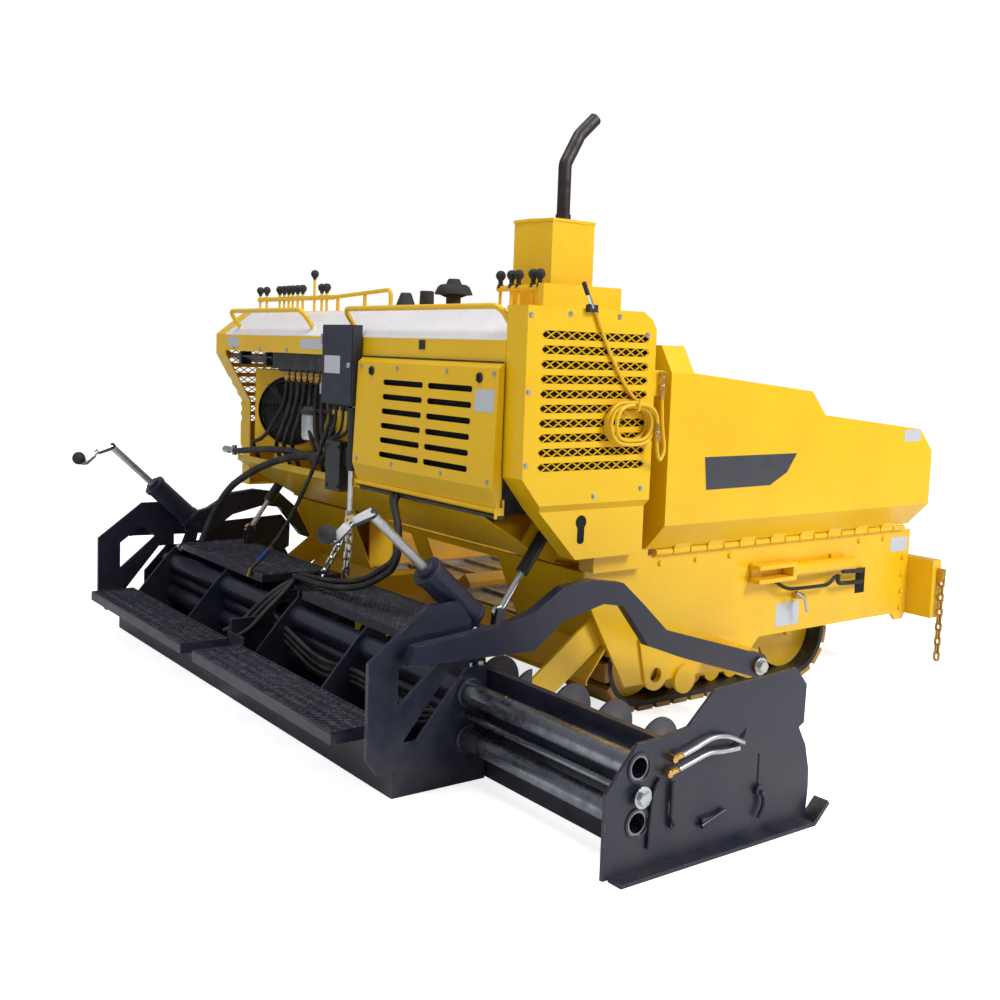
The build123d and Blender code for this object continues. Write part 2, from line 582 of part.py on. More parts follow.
# Rear of the tractor: sloped pan under the engine, and the wall in front of the auger
PAN_TOP_Y = HOOD_REAR + 9
PAN_TOP_Z = 860
PAN_LOW_Y = -400
PAN_LOW_Z = 662
WALL_TOP_Y = -326
WALL_BEND_Y = FRAME_REAR - SEAT - SHEET
WALL_BEND_Z = 330
WALL_LIP_Y = -290
WALL_LIP_Z = 215
ENGINE_FLOOR = FRAME_TOP + SEAT
ENGINE_LEFT = -250
ENGINE_RIGHT = 650
ENGINE_REAR = -540
ENGINE_FRONT = -130
ENGINE_BOTTOM = 780
ENGINE_TOP = 1340
COOLER_Y = -550
COOLER_BOTTOM = 920
with BuildPart() as rear_pan:
    with BuildSketch(Plane.YZ.offset(-PAN_HALF_WIDTH)):
        with BuildLine():
            Polyline(
                (PAN_TOP_Y, PAN_TOP_Z + 30), (PAN_TOP_Y, PAN_TOP_Z), (PAN_LOW_Y, PAN_LOW_Z),
                (WALL_TOP_Y, ENGINE_FLOOR), (HOPPER_BACK_Y - SHEET - SEAT, ENGINE_FLOOR),
            )
            offset(amount=SHEET, side=Side.LEFT)
        make_face()
    extrude(amount=2 * PAN_HALF_WIDTH)
    # bearers under the engine
    with Locations(((ENGINE_LEFT + ENGINE_RIGHT) / 2, (WALL_TOP_Y + ENGINE_FRONT) / 2,
                    (ENGINE_FLOOR + ENGINE_BOTTOM) / 2)):
        with GridLocations(ENGINE_RIGHT - ENGINE_LEFT - 200, 0, 2, 1):
            Box(70, ENGINE_FRONT - WALL_TOP_Y, ENGINE_BOTTOM - 2 * SEAT - ENGINE_FLOOR)
    # stand of the cooler
    with BuildSketch(Plane.YZ.offset(-900)):
        with BuildLine():
            Polyline(
                (COOLER_Y - 50, 780), (COOLER_Y + 50, 722), (COOLER_Y + 50, COOLER_BOTTOM - SEAT),
                (COOLER_Y - 50, COOLER_BOTTOM - SEAT), close=True,
            )
        make_face()
    extrude(amount=200)
    # gussets with the upper pins of the lift cylinders
    for sign in (-1, 1):
        with BuildSketch(Plane.YZ.offset(sign * (PAN_HALF_WIDTH - PLATE / 2) - PLATE / 2)):
            with BuildLine():
                Polyline(
                    (LIFT_TOP_Y - 90, 740), (PAN_LOW_Y, PAN_LOW_Z + 2), (LIFT_TOP_Y + 80, 654),
                    (LIFT_TOP_Y + 60, LIFT_TOP_Z),
                    (LIFT_TOP_Y + 24, LIFT_TOP_Z + 34), (LIFT_TOP_Y - 24, LIFT_TOP_Z + 34), close=True,
                )
            make_face()
        extrude(amount=PLATE)
        with BuildSketch(Plane.YZ.offset(sign * (PAN_HALF_WIDTH + 26) - 26)):
            with Locations((LIFT_TOP_Y, LIFT_TOP_Z)):
                Circle(LIFT_PIN_RADIUS)
        extrude(amount=52)
keep("rear_pan", rear_pan.part)

HANGER = 12
BEARING_RADIUS = AUGER_SHAFT_RADIUS + PIN_CLEARANCE
with BuildPart() as auger_frame:
    with BuildSketch(Plane.YZ.offset(-(BODY_HALF_WIDTH - PLATE - SEAT))):
        with BuildLine():
            Polyline((WALL_TOP_Y, ENGINE_FLOOR - 10), (WALL_BEND_Y, WALL_BEND_Z),
                     (WALL_LIP_Y, WALL_LIP_Z), (WALL_LIP_Y, WALL_LIP_Z - 20))
            offset(amount=SHEET, side=Side.LEFT)
        make_face()
    extrude(amount=2 * (BODY_HALF_WIDTH - PLATE - SEAT))
    # tunnel openings that the conveyors feed through
    with BuildSketch(Plane.XZ.offset(400)):
        with Locations((-(20 + FRAME_HALF_WIDTH) / 2, 470), ((20 + FRAME_HALF_WIDTH) / 2, 470)):
            Rectangle(FRAME_HALF_WIDTH - 100, 260)
    extrude(amount=-260, mode=Mode.SUBTRACT)
    # beam and chain case that carry the inner ends of the augers
    with Locations((0, (AUGER_Y + 40 + WALL_BEND_Y) / 2, WALL_BEND_Z + 60)):
        Box(90, WALL_BEND_Y - AUGER_Y - 56, 90)
    with BuildSketch(Plane.YZ.offset(-AUGER_INNER + 12)):
        with BuildLine():
            Polyline(
                (AUGER_Y - 50, 92), (AUGER_Y + 50, 92), (AUGER_Y + 50, WALL_BEND_Z + 105),
                (AUGER_Y - 20, WALL_BEND_Z + 105), (AUGER_Y - 50, WALL_BEND_Z - 40), close=True,
            )
        make_face()
        with Locations((AUGER_Y, AUGER_Z)):
            Circle(BEARING_RADIUS, mode=Mode.SUBTRACT)
    extrude(amount=2 * (AUGER_INNER - 12))
    # outer hangers between the flights
    for sign in (-1, 1):
        with BuildSketch(Plane.YZ.offset(sign * (HANGER_X + HANGER / 2) - HANGER / 2)):
            with BuildLine():
                Polyline(
                    (AUGER_Y - 44, AUGER_Z - 20), (AUGER_Y + 10, AUGER_Z - 52), (AUGER_Y + 60, AUGER_Z - 20),
                    (WALL_BEND_Y + 3, WALL_BEND_Z + 8), (WALL_BEND_Y - 40, WALL_BEND_Z + 126),
                    (AUGER_Y - 30, AUGER_Z + 60), close=True,
                )
            make_face()
            with Locations((AUGER_Y, AUGER_Z)):
                Circle(BEARING_RADIUS, mode=Mode.SUBTRACT)
        extrude(amount=HANGER)
keep("auger_frame", auger_frame.part)


def auger(shaft_start, shaft_length, flights):
    """Auger along +X: a round shaft with helical flights, each flight is (start, length)."""
    with BuildPart() as screw:
        with BuildSketch(Plane.YZ.offset(shaft_start)):
            with Locations((AUGER_Y, AUGER_Z)):
                Circle(AUGER_SHAFT_RADIUS)
        extrude(amount=shaft_length)
        for start, length in flights:
            with BuildLine() as path:
                helix = Helix(pitch=AUGER_PITCH, height=length, radius=AUGER_SHAFT_RADIUS + 8,
                              center=(start, AUGER_Y, AUGER_Z), direction=(1, 0, 0))
            outward = ((helix @ 0) - Vector(start, AUGER_Y, AUGER_Z)).normalized()
            across = Vector(1, 0, 0).cross(outward)
            with BuildSketch(Plane(origin=(start, AUGER_Y, AUGER_Z), x_dir=outward, z_dir=across)):
                with Locations(((AUGER_RADIUS + AUGER_SHAFT_RADIUS - 3) / 2, 0)):
                    Rectangle(AUGER_RADIUS - AUGER_SHAFT_RADIUS + 3, AUGER_FLIGHT)
            sweep(path=helix, is_frenet=True)
    return screw.part


INNER_FLIGHT = (AUGER_INNER, HANGER_X - RUNNING_GAP - AUGER_FLIGHT - AUGER_INNER)
OUTER_START = HANGER_X + HANGER + RUNNING_GAP + AUGER_FLIGHT
keep("auger_right", auger(AUGER_INNER - 50, AUGER_RIGHT_LENGTH + 50, [
    INNER_FLIGHT, (OUTER_START, AUGER_INNER + AUGER_RIGHT_LENGTH - 20 - OUTER_START)]))
keep("auger_left", mirror(auger(AUGER_INNER - 50, AUGER_LEFT_LENGTH + 50, [INNER_FLIGHT]), about=Plane.YZ))

# Engine as one plain block on the bearers
keep("engine", block(ENGINE_LEFT, ENGINE_RIGHT, ENGINE_REAR, ENGINE_FRONT, ENGINE_BOTTOM, ENGINE_TOP))

# Hood roof: flat top that slopes down to the rear and folds into a skirt
ROOF_HALF_WIDTH = HOOD_HALF_WIDTH - SIDE_BOX_DEPTH - SEAT
RAIL_RADIUS = 11
RAIL_FOOT_Y = -705
RAIL_FOOT_Z = 1519
RAIL_TOP_Y = -766
RAIL_TOP_Z = 1600
RAILS = [(-ROOF_HALF_WIDTH + 85, -312), (70, ROOF_HALF_WIDTH - 15)]
CAPS = [(-26, 50, 22, 84), (142, 31, 29, 88)]
CAPS_Y = -400
with BuildPart() as hood_roof:
    with BuildSketch(Plane.YZ.offset(-ROOF_HALF_WIDTH)):
        with BuildLine():
            Polyline(
                (HOOD_REAR, HOOD_SKIRT_BOTTOM), (HOOD_REAR, HOOD_EDGE_HEIGHT), (HOOD_SLOPE_END, HOOD_TOP),
                (HOOD_FRONT, HOOD_TOP), (HOOD_FRONT, HOOD_TOP - 110),
            )
            offset(amount=SHEET, side=Side.RIGHT)
        make_face()
    extrude(amount=2 * ROOF_HALF_WIDTH)
    # rail loops that lean back from the slope
    for left, right in RAILS:
        with BuildLine() as rail:
            FilletPolyline(
                (left, RAIL_FOOT_Y, RAIL_FOOT_Z), (left, RAIL_TOP_Y, RAIL_TOP_Z),
                (right, RAIL_TOP_Y, RAIL_TOP_Z), (right, RAIL_FOOT_Y, RAIL_FOOT_Z), radius=40,
            )
        with BuildSketch(Plane(origin=rail.line @ 0, z_dir=rail.line % 0)):
            Circle(RAIL_RADIUS)
        sweep(path=rail.line)
    # filler caps
    for x, radius, top_radius, height in CAPS:
        with Locations((x, CAPS_Y, HOOD_TOP - 1)):
            Cone(radius, top_radius, height, align=(Align.CENTER, Align.CENTER, Align.MIN))
    # the front corners end at the hopper's back wall
    for sign in (-1, 1):
        with Locations((sign * (BACK_EDGE + 60), (SIDE_BOX_FRONT + HOOD_FRONT) / 2 + 1, HOOD_TOP - 60)):
            Box(120, HOOD_FRONT - SIDE_BOX_FRONT + 2, 140, mode=Mode.SUBTRACT)
keep("hood_roof", hood_roof.part)


def side_box(outline):
    """Pan at the side of the hood: outer sheet with slot rows, stepped in low down, and a rim."""
    inner = HOOD_HALF_WIDTH - SIDE_BOX_DEPTH
    with BuildPart() as pan:
        with BuildSketch(Plane.YZ.offset(inner)):
            with BuildLine():
                Polyline(*outline, close=True)
            make_face()
        extrude(amount=SIDE_BOX_DEPTH)
        with BuildSketch(Plane.XZ.offset(-HOOD_FRONT)):
            with BuildLine():
                Polyline(
                    (inner, SIDE_BOX_BOTTOM - 9), (HOOD_HALF_WIDTH - SIDE_BOX_STEP, SIDE_BOX_BOTTOM - 9),
                    (HOOD_HALF_WIDTH - SIDE_BOX_STEP, SIDE_BOX_STEP_TOP - SIDE_BOX_STEP),
                    (HOOD_HALF_WIDTH, SIDE_BOX_STEP_TOP), (HOOD_HALF_WIDTH, HOOD_TOP + 9),
                    (inner, HOOD_TOP + 9), close=True,
                )
            make_face()
        extrude(amount=HOOD_FRONT - HOOD_REAR + 9, mode=Mode.INTERSECT)
        inner_face = pan.faces().sort_by(Axis.X)[0]
        offset(amount=-SHEET, openings=inner_face)
        with BuildSketch(Plane.YZ.offset(HOOD_HALF_WIDTH - 2 * SHEET)):
            with Locations((MESH_MIDDLE_Y, MESH_TOP_ROW - (MESH_ROWS - 1) * MESH_ROW_PITCH / 2)):
                with GridLocations(0, MESH_ROW_PITCH, 1, MESH_ROWS):
                    SlotOverall(MESH_ROW_LENGTH, MESH_ROW_HEIGHT)
        extrude(amount=3 * SHEET, mode=Mode.SUBTRACT)
    return pan.part


BOX_FRONT_EDGE = [
    (-212, HOOD_TOP), (-166, HOOD_TOP - 28), (SIDE_BOX_FRONT, HOOD_TOP - 63),
    (SIDE_BOX_FRONT, SIDE_BOX_BOTTOM),
]
keep("side_box_right", side_box([(HOOD_REAR + 2, HOOD_TOP)] + BOX_FRONT_EDGE + [
    (-470, SIDE_BOX_BOTTOM), (-650, 896), (HOOD_REAR + 2, 1012),
]))
keep("side_box_left", mirror(side_box([
    (HOOD_REAR, HOOD_EDGE_HEIGHT), (HOOD_SLOPE_END, HOOD_TOP)] + BOX_FRONT_EDGE + [
    (-605, SIDE_BOX_BOTTOM), (-607, 1145), (HOOD_REAR, 1388),
]), about=Plane.YZ))

# Rear wall of the hood behind the louvre door, with a post and the mounting of the cabinet
REAR_WALL_Y = HOOD_REAR + SHEET + SEAT
POST_LEFT = -50
POST_RIGHT = 120
WALL_RIGHT = ROOF_HALF_WIDTH - 10
BOX_LEFT = -50
BOX_RIGHT = DOOR_LEFT - 10
BOX_REAR = -798
BOX_FRONT = -754
BOX_BOTTOM = 1200
BOX_TOP = 1533
WALL_FOOT = PAN_TOP_Z + 30 + SEAT
WALL_TOP = HOOD_EDGE_HEIGHT - 14
with BuildPart() as rear_wall:
    with BuildSketch(Plane.XZ.offset(-REAR_WALL_Y)):
        with BuildLine():
            Polyline(
                (POST_LEFT, WALL_FOOT), (WALL_RIGHT, WALL_FOOT), (WALL_RIGHT, WALL_TOP),
                (POST_LEFT, WALL_TOP), close=True,
            )
        make_face()
        with Locations(((DOOR_LEFT + DOOR_RIGHT) / 2 + 20, (DOOR_TOP + DOOR_FOLD) / 2)):
            Rectangle(DOOR_RIGHT - DOOR_LEFT - 140, DOOR_TOP - DOOR_FOLD - 60, mode=Mode.SUBTRACT)
    extrude(amount=-SHEET)
    for x in (POST_LEFT, POST_RIGHT - SHEET):
        with Locations((x + SHEET / 2, REAR_WALL_Y + 60, (WALL_FOOT + WALL_TOP) / 2 - 20)):
            Box(SHEET, 120, WALL_TOP - WALL_FOOT - 60)
    MOUNT_HEIGHT = HOOD_SKIRT_BOTTOM - BOX_BOTTOM - 40
    with Locations(((BOX_LEFT + BOX_RIGHT) / 2, (BOX_FRONT + REAR_WALL_Y) / 2 + SEAT,
                    BOX_BOTTOM + 30 + MOUNT_HEIGHT / 2)):
        Box(90, REAR_WALL_Y - BOX_FRONT, MOUNT_HEIGHT)
    # sill below the louvre door with the brackets of its hinge pin
    SILL_X = (DOOR_LEFT + DOOR_RIGHT) / 2
    SILL_LENGTH = DOOR_RIGHT - DOOR_LEFT + 10
    SILL_FRONT = PAN_TOP_Y - SEAT
    SILL_BOTTOM = DOOR_HINGE_Z - 27
    with Locations((SILL_X, SILL_FRONT - 14, SILL_BOTTOM + 5)):
        Box(SILL_LENGTH, 28, 10)
    with Locations((SILL_X, SILL_FRONT - 3, SILL_BOTTOM + 33)):
        Box(SILL_LENGTH, 6, 66)
    for x in (DOOR_LEFT - 3, DOOR_RIGHT + 3):
        with Locations((x, SILL_FRONT - 20, SILL_BOTTOM + 20)):
            Box(4, 40, 38)
    with BuildSketch(Plane.YZ.offset(DOOR_LEFT - 4)):
        with Locations((DOOR_HINGE_Y, DOOR_HINGE_Z)):
            Circle(DOOR_PIN_RADIUS)
    extrude(amount=DOOR_RIGHT - DOOR_LEFT + 8)
keep("rear_wall", rear_wall.part)

# Louvre door: a folded pan with slots, hinged along its bottom edge
with BuildPart() as louvre_door:
    with BuildSketch(Plane.YZ.offset(DOOR_LEFT)):
        with BuildLine():
            Polyline(
                (DOOR_BACK_Y, DOOR_TOP), (DOOR_BACK_Y - DOOR_TOP_DEPTH, DOOR_EDGE),
                (DOOR_BACK_Y - DOOR_FOLD_DEPTH, DOOR_FOLD), (DOOR_BACK_Y - DOOR_FOOT_DEPTH, DOOR_BOTTOM),
                (DOOR_BACK_Y, DOOR_BOTTOM), close=True,
            )
        make_face()
    extrude(amount=DOOR_RIGHT - DOOR_LEFT)
    door_back = louvre_door.faces().sort_by(Axis.Y)[-1]
    offset(amount=-4, openings=door_back)
    SLOTS_X = (DOOR_LEFT + DOOR_RIGHT) / 2 + 26
    SLOTS_Z = DOOR_TOP - 97 - (DOOR_SLOT_ROWS - 1) * DOOR_SLOT_PITCH / 2
    with BuildSketch(Plane.XZ.offset(-(DOOR_BACK_Y - DOOR_FOLD_DEPTH - 10))):
        with Locations((SLOTS_X, SLOTS_Z)):
            with GridLocations(DOOR_SLOT_COLUMN, DOOR_SLOT_PITCH, 2, DOOR_SLOT_ROWS):
                SlotOverall(DOOR_SLOT_LENGTH, DOOR_SLOT_HEIGHT)
    extrude(amount=-80, mode=Mode.SUBTRACT)
    # hinge tube under the bottom edge
    with BuildSketch(Plane.YZ.offset(DOOR_LEFT + 4)):
        with Locations((DOOR_HINGE_Y, DOOR_HINGE_Z)):
            Circle(DOOR_PIN_RADIUS + 5)
        with Locations((DOOR_HINGE_Y + 6, DOOR_HINGE_Z + 4)):
            Rectangle(6, 12)
        with Locations((DOOR_HINGE_Y, DOOR_HINGE_Z)):
            Circle(DOOR_PIN_RADIUS + PIN_CLEARANCE, mode=Mode.SUBTRACT)
    extrude(amount=DOOR_RIGHT - DOOR_LEFT - 8)
keep("louvre_door", louvre_door.part)

# Cabinet behind the hood, a closed sheet box
with BuildPart() as cabinet:
    with Locations(((BOX_LEFT + BOX_RIGHT) / 2, (BOX_REAR + BOX_FRONT) / 2, (BOX_BOTTOM + BOX_TOP) / 2)):
        Box(BOX_RIGHT - BOX_LEFT, BOX_FRONT - BOX_REAR, BOX_TOP - BOX_BOTTOM)
    cabinet_back = cabinet.faces().sort_by(Axis.Y)[-1]
    offset(amount=-4, openings=cabinet_back)
    with Locations(((BOX_LEFT + BOX_RIGHT) / 2, BOX_FRONT - 2, (BOX_BOTTOM + BOX_TOP) / 2)):
        Box(BOX_RIGHT - BOX_LEFT - 4, 4, BOX_TOP - BOX_BOTTOM - 4)
keep("control_cabinet", cabinet.part)

# Middle lift of the screed: housing and barrel on the tractor, rod with hook and chains
HOIST_BARREL_RADIUS = 20
HOIST_BARREL_BOTTOM = 930
HOIST_BARREL_TOP = 1190
HOIST_CASE_LEFT = 0
HOIST_CASE_RIGHT = HOIST_X - 55
HOIST_CASE_DEPTH = 57
with BuildPart() as hoist_barrel:
    with Locations(((HOIST_CASE_LEFT + HOIST_CASE_RIGHT) / 2, REAR_WALL_Y - SEAT - HOIST_CASE_DEPTH / 2, 940)):
        Box(HOIST_CASE_RIGHT - HOIST_CASE_LEFT, HOIST_CASE_DEPTH, 210)
    with Locations((HOIST_X, HOIST_Y, HOIST_BARREL_BOTTOM)):
        Cylinder(HOIST_BARREL_RADIUS, HOIST_BARREL_TOP - HOIST_BARREL_BOTTOM,
                 align=(Align.CENTER, Align.CENTER, Align.MIN))
        Cylinder(HOIST_ROD_RADIUS + PIN_CLEARANCE, HOIST_BARREL_TOP - HOIST_BARREL_BOTTOM - 8,
                 align=(Align.CENTER, Align.CENTER, Align.MIN), mode=Mode.SUBTRACT)
    with Locations((HOIST_X - 37, HOIST_Y, 985)):
        Box(46, 18, 80)
keep("hoist_barrel", hoist_barrel.part)


def chain_links(start, end, wire, count):
    """Links of a chain between two points, as (plane, link length) with every other one turned."""
    run = Vector(*end) - Vector(*start)
    along = run.normalized()
    flat = along.cross(Vector(0, 1, 0)).normalized()
    turned = along.cross(flat)
    pitch = run.length / count
    links = []
    for number in range(count):
        centre = Vector(*start) + along * (pitch * (number + 0.5))
        normal = flat if number % 2 else turned
        links.append((Plane(origin=centre, x_dir=along, z_dir=normal), pitch + 1.8 * wire))
    return links


CHAIN_WIRE = 9
with BuildPart() as hoist_rod:
    with Locations((HOIST_X, HOIST_Y, HOOK_Z + 24)):
        Cylinder(HOIST_ROD_RADIUS, 1015 - HOOK_Z - 24, align=(Align.CENTER, Align.CENTER, Align.MIN))
    # hook body and its eye
    with BuildSketch(Plane.XZ.offset(-(HOIST_Y + 12))):
        with Locations((HOIST_X, HOOK_Z)):
            Circle(26)
        with Locations((HOIST_X, HOOK_Z + 24)):
            Rectangle(36, 40)
        with Locations((HOIST_X, HOOK_Z - 2)):
            Circle(13, mode=Mode.SUBTRACT)
    extrude(amount=24)
    for foot, count in (((-70, HOIST_Y + 8, 442), 8), ((132, HOIST_Y + 8, 442), 7)):
        for plane, length in chain_links((HOIST_X, HOIST_Y, HOOK_Z - 20), foot, CHAIN_WIRE, count):
            with BuildSketch(plane):
                SlotOverall(length, 3.4 * CHAIN_WIRE)
                SlotOverall(length - 2 * CHAIN_WIRE, 1.4 * CHAIN_WIRE, mode=Mode.SUBTRACT)
            extrude(amount=CHAIN_WIRE / 2, both=True)
keep("hoist_rod", hoist_rod.part)

# Cooler in the left bay, with its fan
fan_plane = Plane(origin=(-800, COOLER_Y, COOLER_BOTTOM + 200), x_dir=(0.64, 0.77, 0), z_dir=(0.77, -0.64, 0))
FAN_RECESS = 60
FAN_RING_RADIUS = 168
with BuildPart() as cooler:
    with BuildSketch(fan_plane):
        Rectangle(380, 400)
    extrude(amount=-100)
    with BuildSketch(fan_plane):
        Circle(FAN_RING_RADIUS)
    extrude(amount=-FAN_RECESS, mode=Mode.SUBTRACT)
    with BuildSketch(fan_plane.offset(-FAN_RECESS - 1)):
        Circle(15)
    extrude(amount=FAN_RECESS - 10)
keep("cooler", cooler.part)
with BuildPart(fan_plane.offset(-FAN_RECESS / 2)) as cooling_fan:
    Cylinder(45, 40)
    with PolarLocations(101, 6):
        Box(116, 52, 4, rotation=(32, 0, 0))
    Cylinder(15 + PIN_CLEARANCE, 60, mode=Mode.SUBTRACT)
keep("cooling_fan", cooling_fan.part)

# Tower on the hood, and the exhaust pipe that rises from it
TOWER_TOP = 1930
TOWER_RIGHT = HOOD_HALF_WIDTH - 229
TOWER_LEFT = TOWER_RIGHT - 188
PIPE_X = TOWER_RIGHT - 124
PIPE_RADIUS = 25
with BuildPart() as tower:
    with BuildSketch(Plane.XY.offset(HOOD_TOP + SEAT)):
        with BuildLine():
            Polyline(
                (TOWER_LEFT, -495), (TOWER_RIGHT - 97, -495), (TOWER_RIGHT, -466), (TOWER_RIGHT, -264),
                (TOWER_LEFT, -264), close=True,
            )
        make_face()
    extrude(amount=TOWER_TOP - HOOD_TOP - SEAT)
    tower_foot = tower.faces().sort_by(Axis.Z)[0]
    offset(amount=-4, openings=tower_foot)
keep("tower", tower.part)
with BuildPart() as exhaust_pipe:
    with BuildLine() as pipe_line:
        FilletPolyline(
            (PIPE_X, -315, TOWER_TOP + SEAT), (PIPE_X, -315, 2155), (PIPE_X, -250, 2270), (PIPE_X, -174, 2341),
            radius=50,
        )
    with BuildSketch(Plane.XY.offset(TOWER_TOP + SEAT)):
        with Locations((PIPE_X, -315)):
            Circle(PIPE_RADIUS)
            Circle(PIPE_RADIUS - 3, mode=Mode.SUBTRACT)
    sweep(path=pipe_line.line)
keep("exhaust_pipe", exhaust_pipe.part)

# Mushroom-shaped pre-cleaner on the deck
CLEANER_X = 343
CLEANER_RADIUS = 78
CLEANER_NECK = 27
with BuildPart() as pre_cleaner:
    with BuildSketch(Plane(origin=(CLEANER_X, CAPS_Y, 0), x_dir=(1, 0, 0), z_dir=(0, -1, 0))):
        with BuildLine():
            Polyline(
                (0, HOOD_TOP + SEAT), (CLEANER_NECK, HOOD_TOP + SEAT), (CLEANER_NECK, HOOD_TOP + 73),
                (CLEANER_RADIUS, HOOD_TOP + 73), (CLEANER_RADIUS - 12, HOOD_TOP + 99),
                (CLEANER_RADIUS - 22, HOOD_TOP + 109), (32, HOOD_TOP + 112), (24, HOOD_TOP + 134),
                (0, HOOD_TOP + 134), close=True,
            )
        make_face()
    revolve(axis=Axis((CLEANER_X, CAPS_Y, 0), (0, 0, 1)))
keep("pre_cleaner", pre_cleaner.part)


def lever_bank(y, levers, bar_from, bar_to, bar_z):
    """Row of hand levers with ball knobs, each (x, top), joined by one cross bar."""
    with BuildPart() as bank:
        for x, top in levers:
            with Locations((x, y, HOOD_TOP + SEAT)):
                Cylinder(LEVER_RADIUS, top - HOOD_TOP - SEAT, align=(Align.CENTER, Align.CENTER, Align.MIN))
            with Locations((x, y, top)):
                Sphere(KNOB_RADIUS)
        with Locations(Location(((bar_from + bar_to) / 2, y, bar_z), (0, 90, 0))):
            Cylinder(LEVER_RADIUS + 5, bar_to - bar_from)
    return bank.part


LEVER_RADIUS = 6
KNOB_RADIUS = 17
# places of the levers as distances from the outer side of the hood
RIGHT_LEVERS = [(419, 1726), (352, 1726), (310, 1726), (225, 1724), (186, 1724)]
LEFT_LEVERS = [(178, 1711), (252, 1711), (397, 1713), (446, 1713), (494, 1711), (537, 1711),
               (589, 1710), (641, 1710), (758, 1776), (830, 1713), (878, 1713)]
LEFT_LEVERS_Y = -590
keep("levers_right", lever_bank(-550, [(HOOD_HALF_WIDTH - away, top) for away, top in RIGHT_LEVERS],
                                HOOD_HALF_WIDTH - 431, HOOD_HALF_WIDTH - 175, 1677))
with BuildPart() as levers_left:
    add(lever_bank(LEFT_LEVERS_Y, [(away - HOOD_HALF_WIDTH, top) for away, top in LEFT_LEVERS],
                   166 - HOOD_HALF_WIDTH, -340, 1665))
    # hand rail that carries on from the bar
    with BuildLine() as hand_rail:
        FilletPolyline(
            (-350, LEFT_LEVERS_Y, 1664.5), (154, LEFT_LEVERS_Y, 1688), (154, LEFT_LEVERS_Y, HOOD_TOP + SEAT),
            radius=24,
        )
    with BuildSketch(Plane(origin=hand_rail.line @ 0, z_dir=hand_rail.line % 0)):
        Circle(RAIL_RADIUS - 2)
    sweep(path=hand_rail.line)
    for x, height in ((-300, 64), (-60, 75)):
        with Locations((x, LEFT_LEVERS_Y, HOOD_TOP + SEAT)):
            Cylinder(LEVER_RADIUS + 2, height, align=(Align.CENTER, Align.CENTER, Align.MIN))
keep("levers_left", levers_left.part)

# Upright plate beside the right levers
keep("console_right", block(HOOD_HALF_WIDTH - 163, HOOD_HALF_WIDTH - 133, -576, -204, HOOD_TOP + SEAT, 1690))

# Screed frame: a tray on the ground, bulkheads, guide tubes, steps, side frames and brackets
WALKWAY_FOOT = WALKWAY_TOP - GRATING_DEPTH
BULKHEAD = [
    (SCREED_REAR, 0), (SCREED_FRONT - 1, 0), (SCREED_FRONT - 8, SCREED_TOP - STEP_THICKNESS + 1),
    (-955, SCREED_TOP - STEP_THICKNESS + 1), (-1010, 340), (-1150, WALKWAY_FOOT - SEAT),
    (SCREED_REAR, WALKWAY_FOOT - SEAT),
]
SIDE_FRAME = [
    (-1350, 150), (-1350, 460), (-1130, 625), (-1010, 625), (-960, 560), (-960, 400), (-1040, 400),
    (-1215, 190), (-1215, 95), (-1310, 95),
]
SIDE_FRAME_WINDOW = [(-1240, 300), (-1240, 430), (-1130, 510), (-1060, 450)]
GUIDE_RADIUS = SLIDE_TUBE_RADIUS + SLIDE_FIT + GUIDE_WALL
STEPS = [(-STEP_OUTER, -265), (118, STEP_OUTER)]
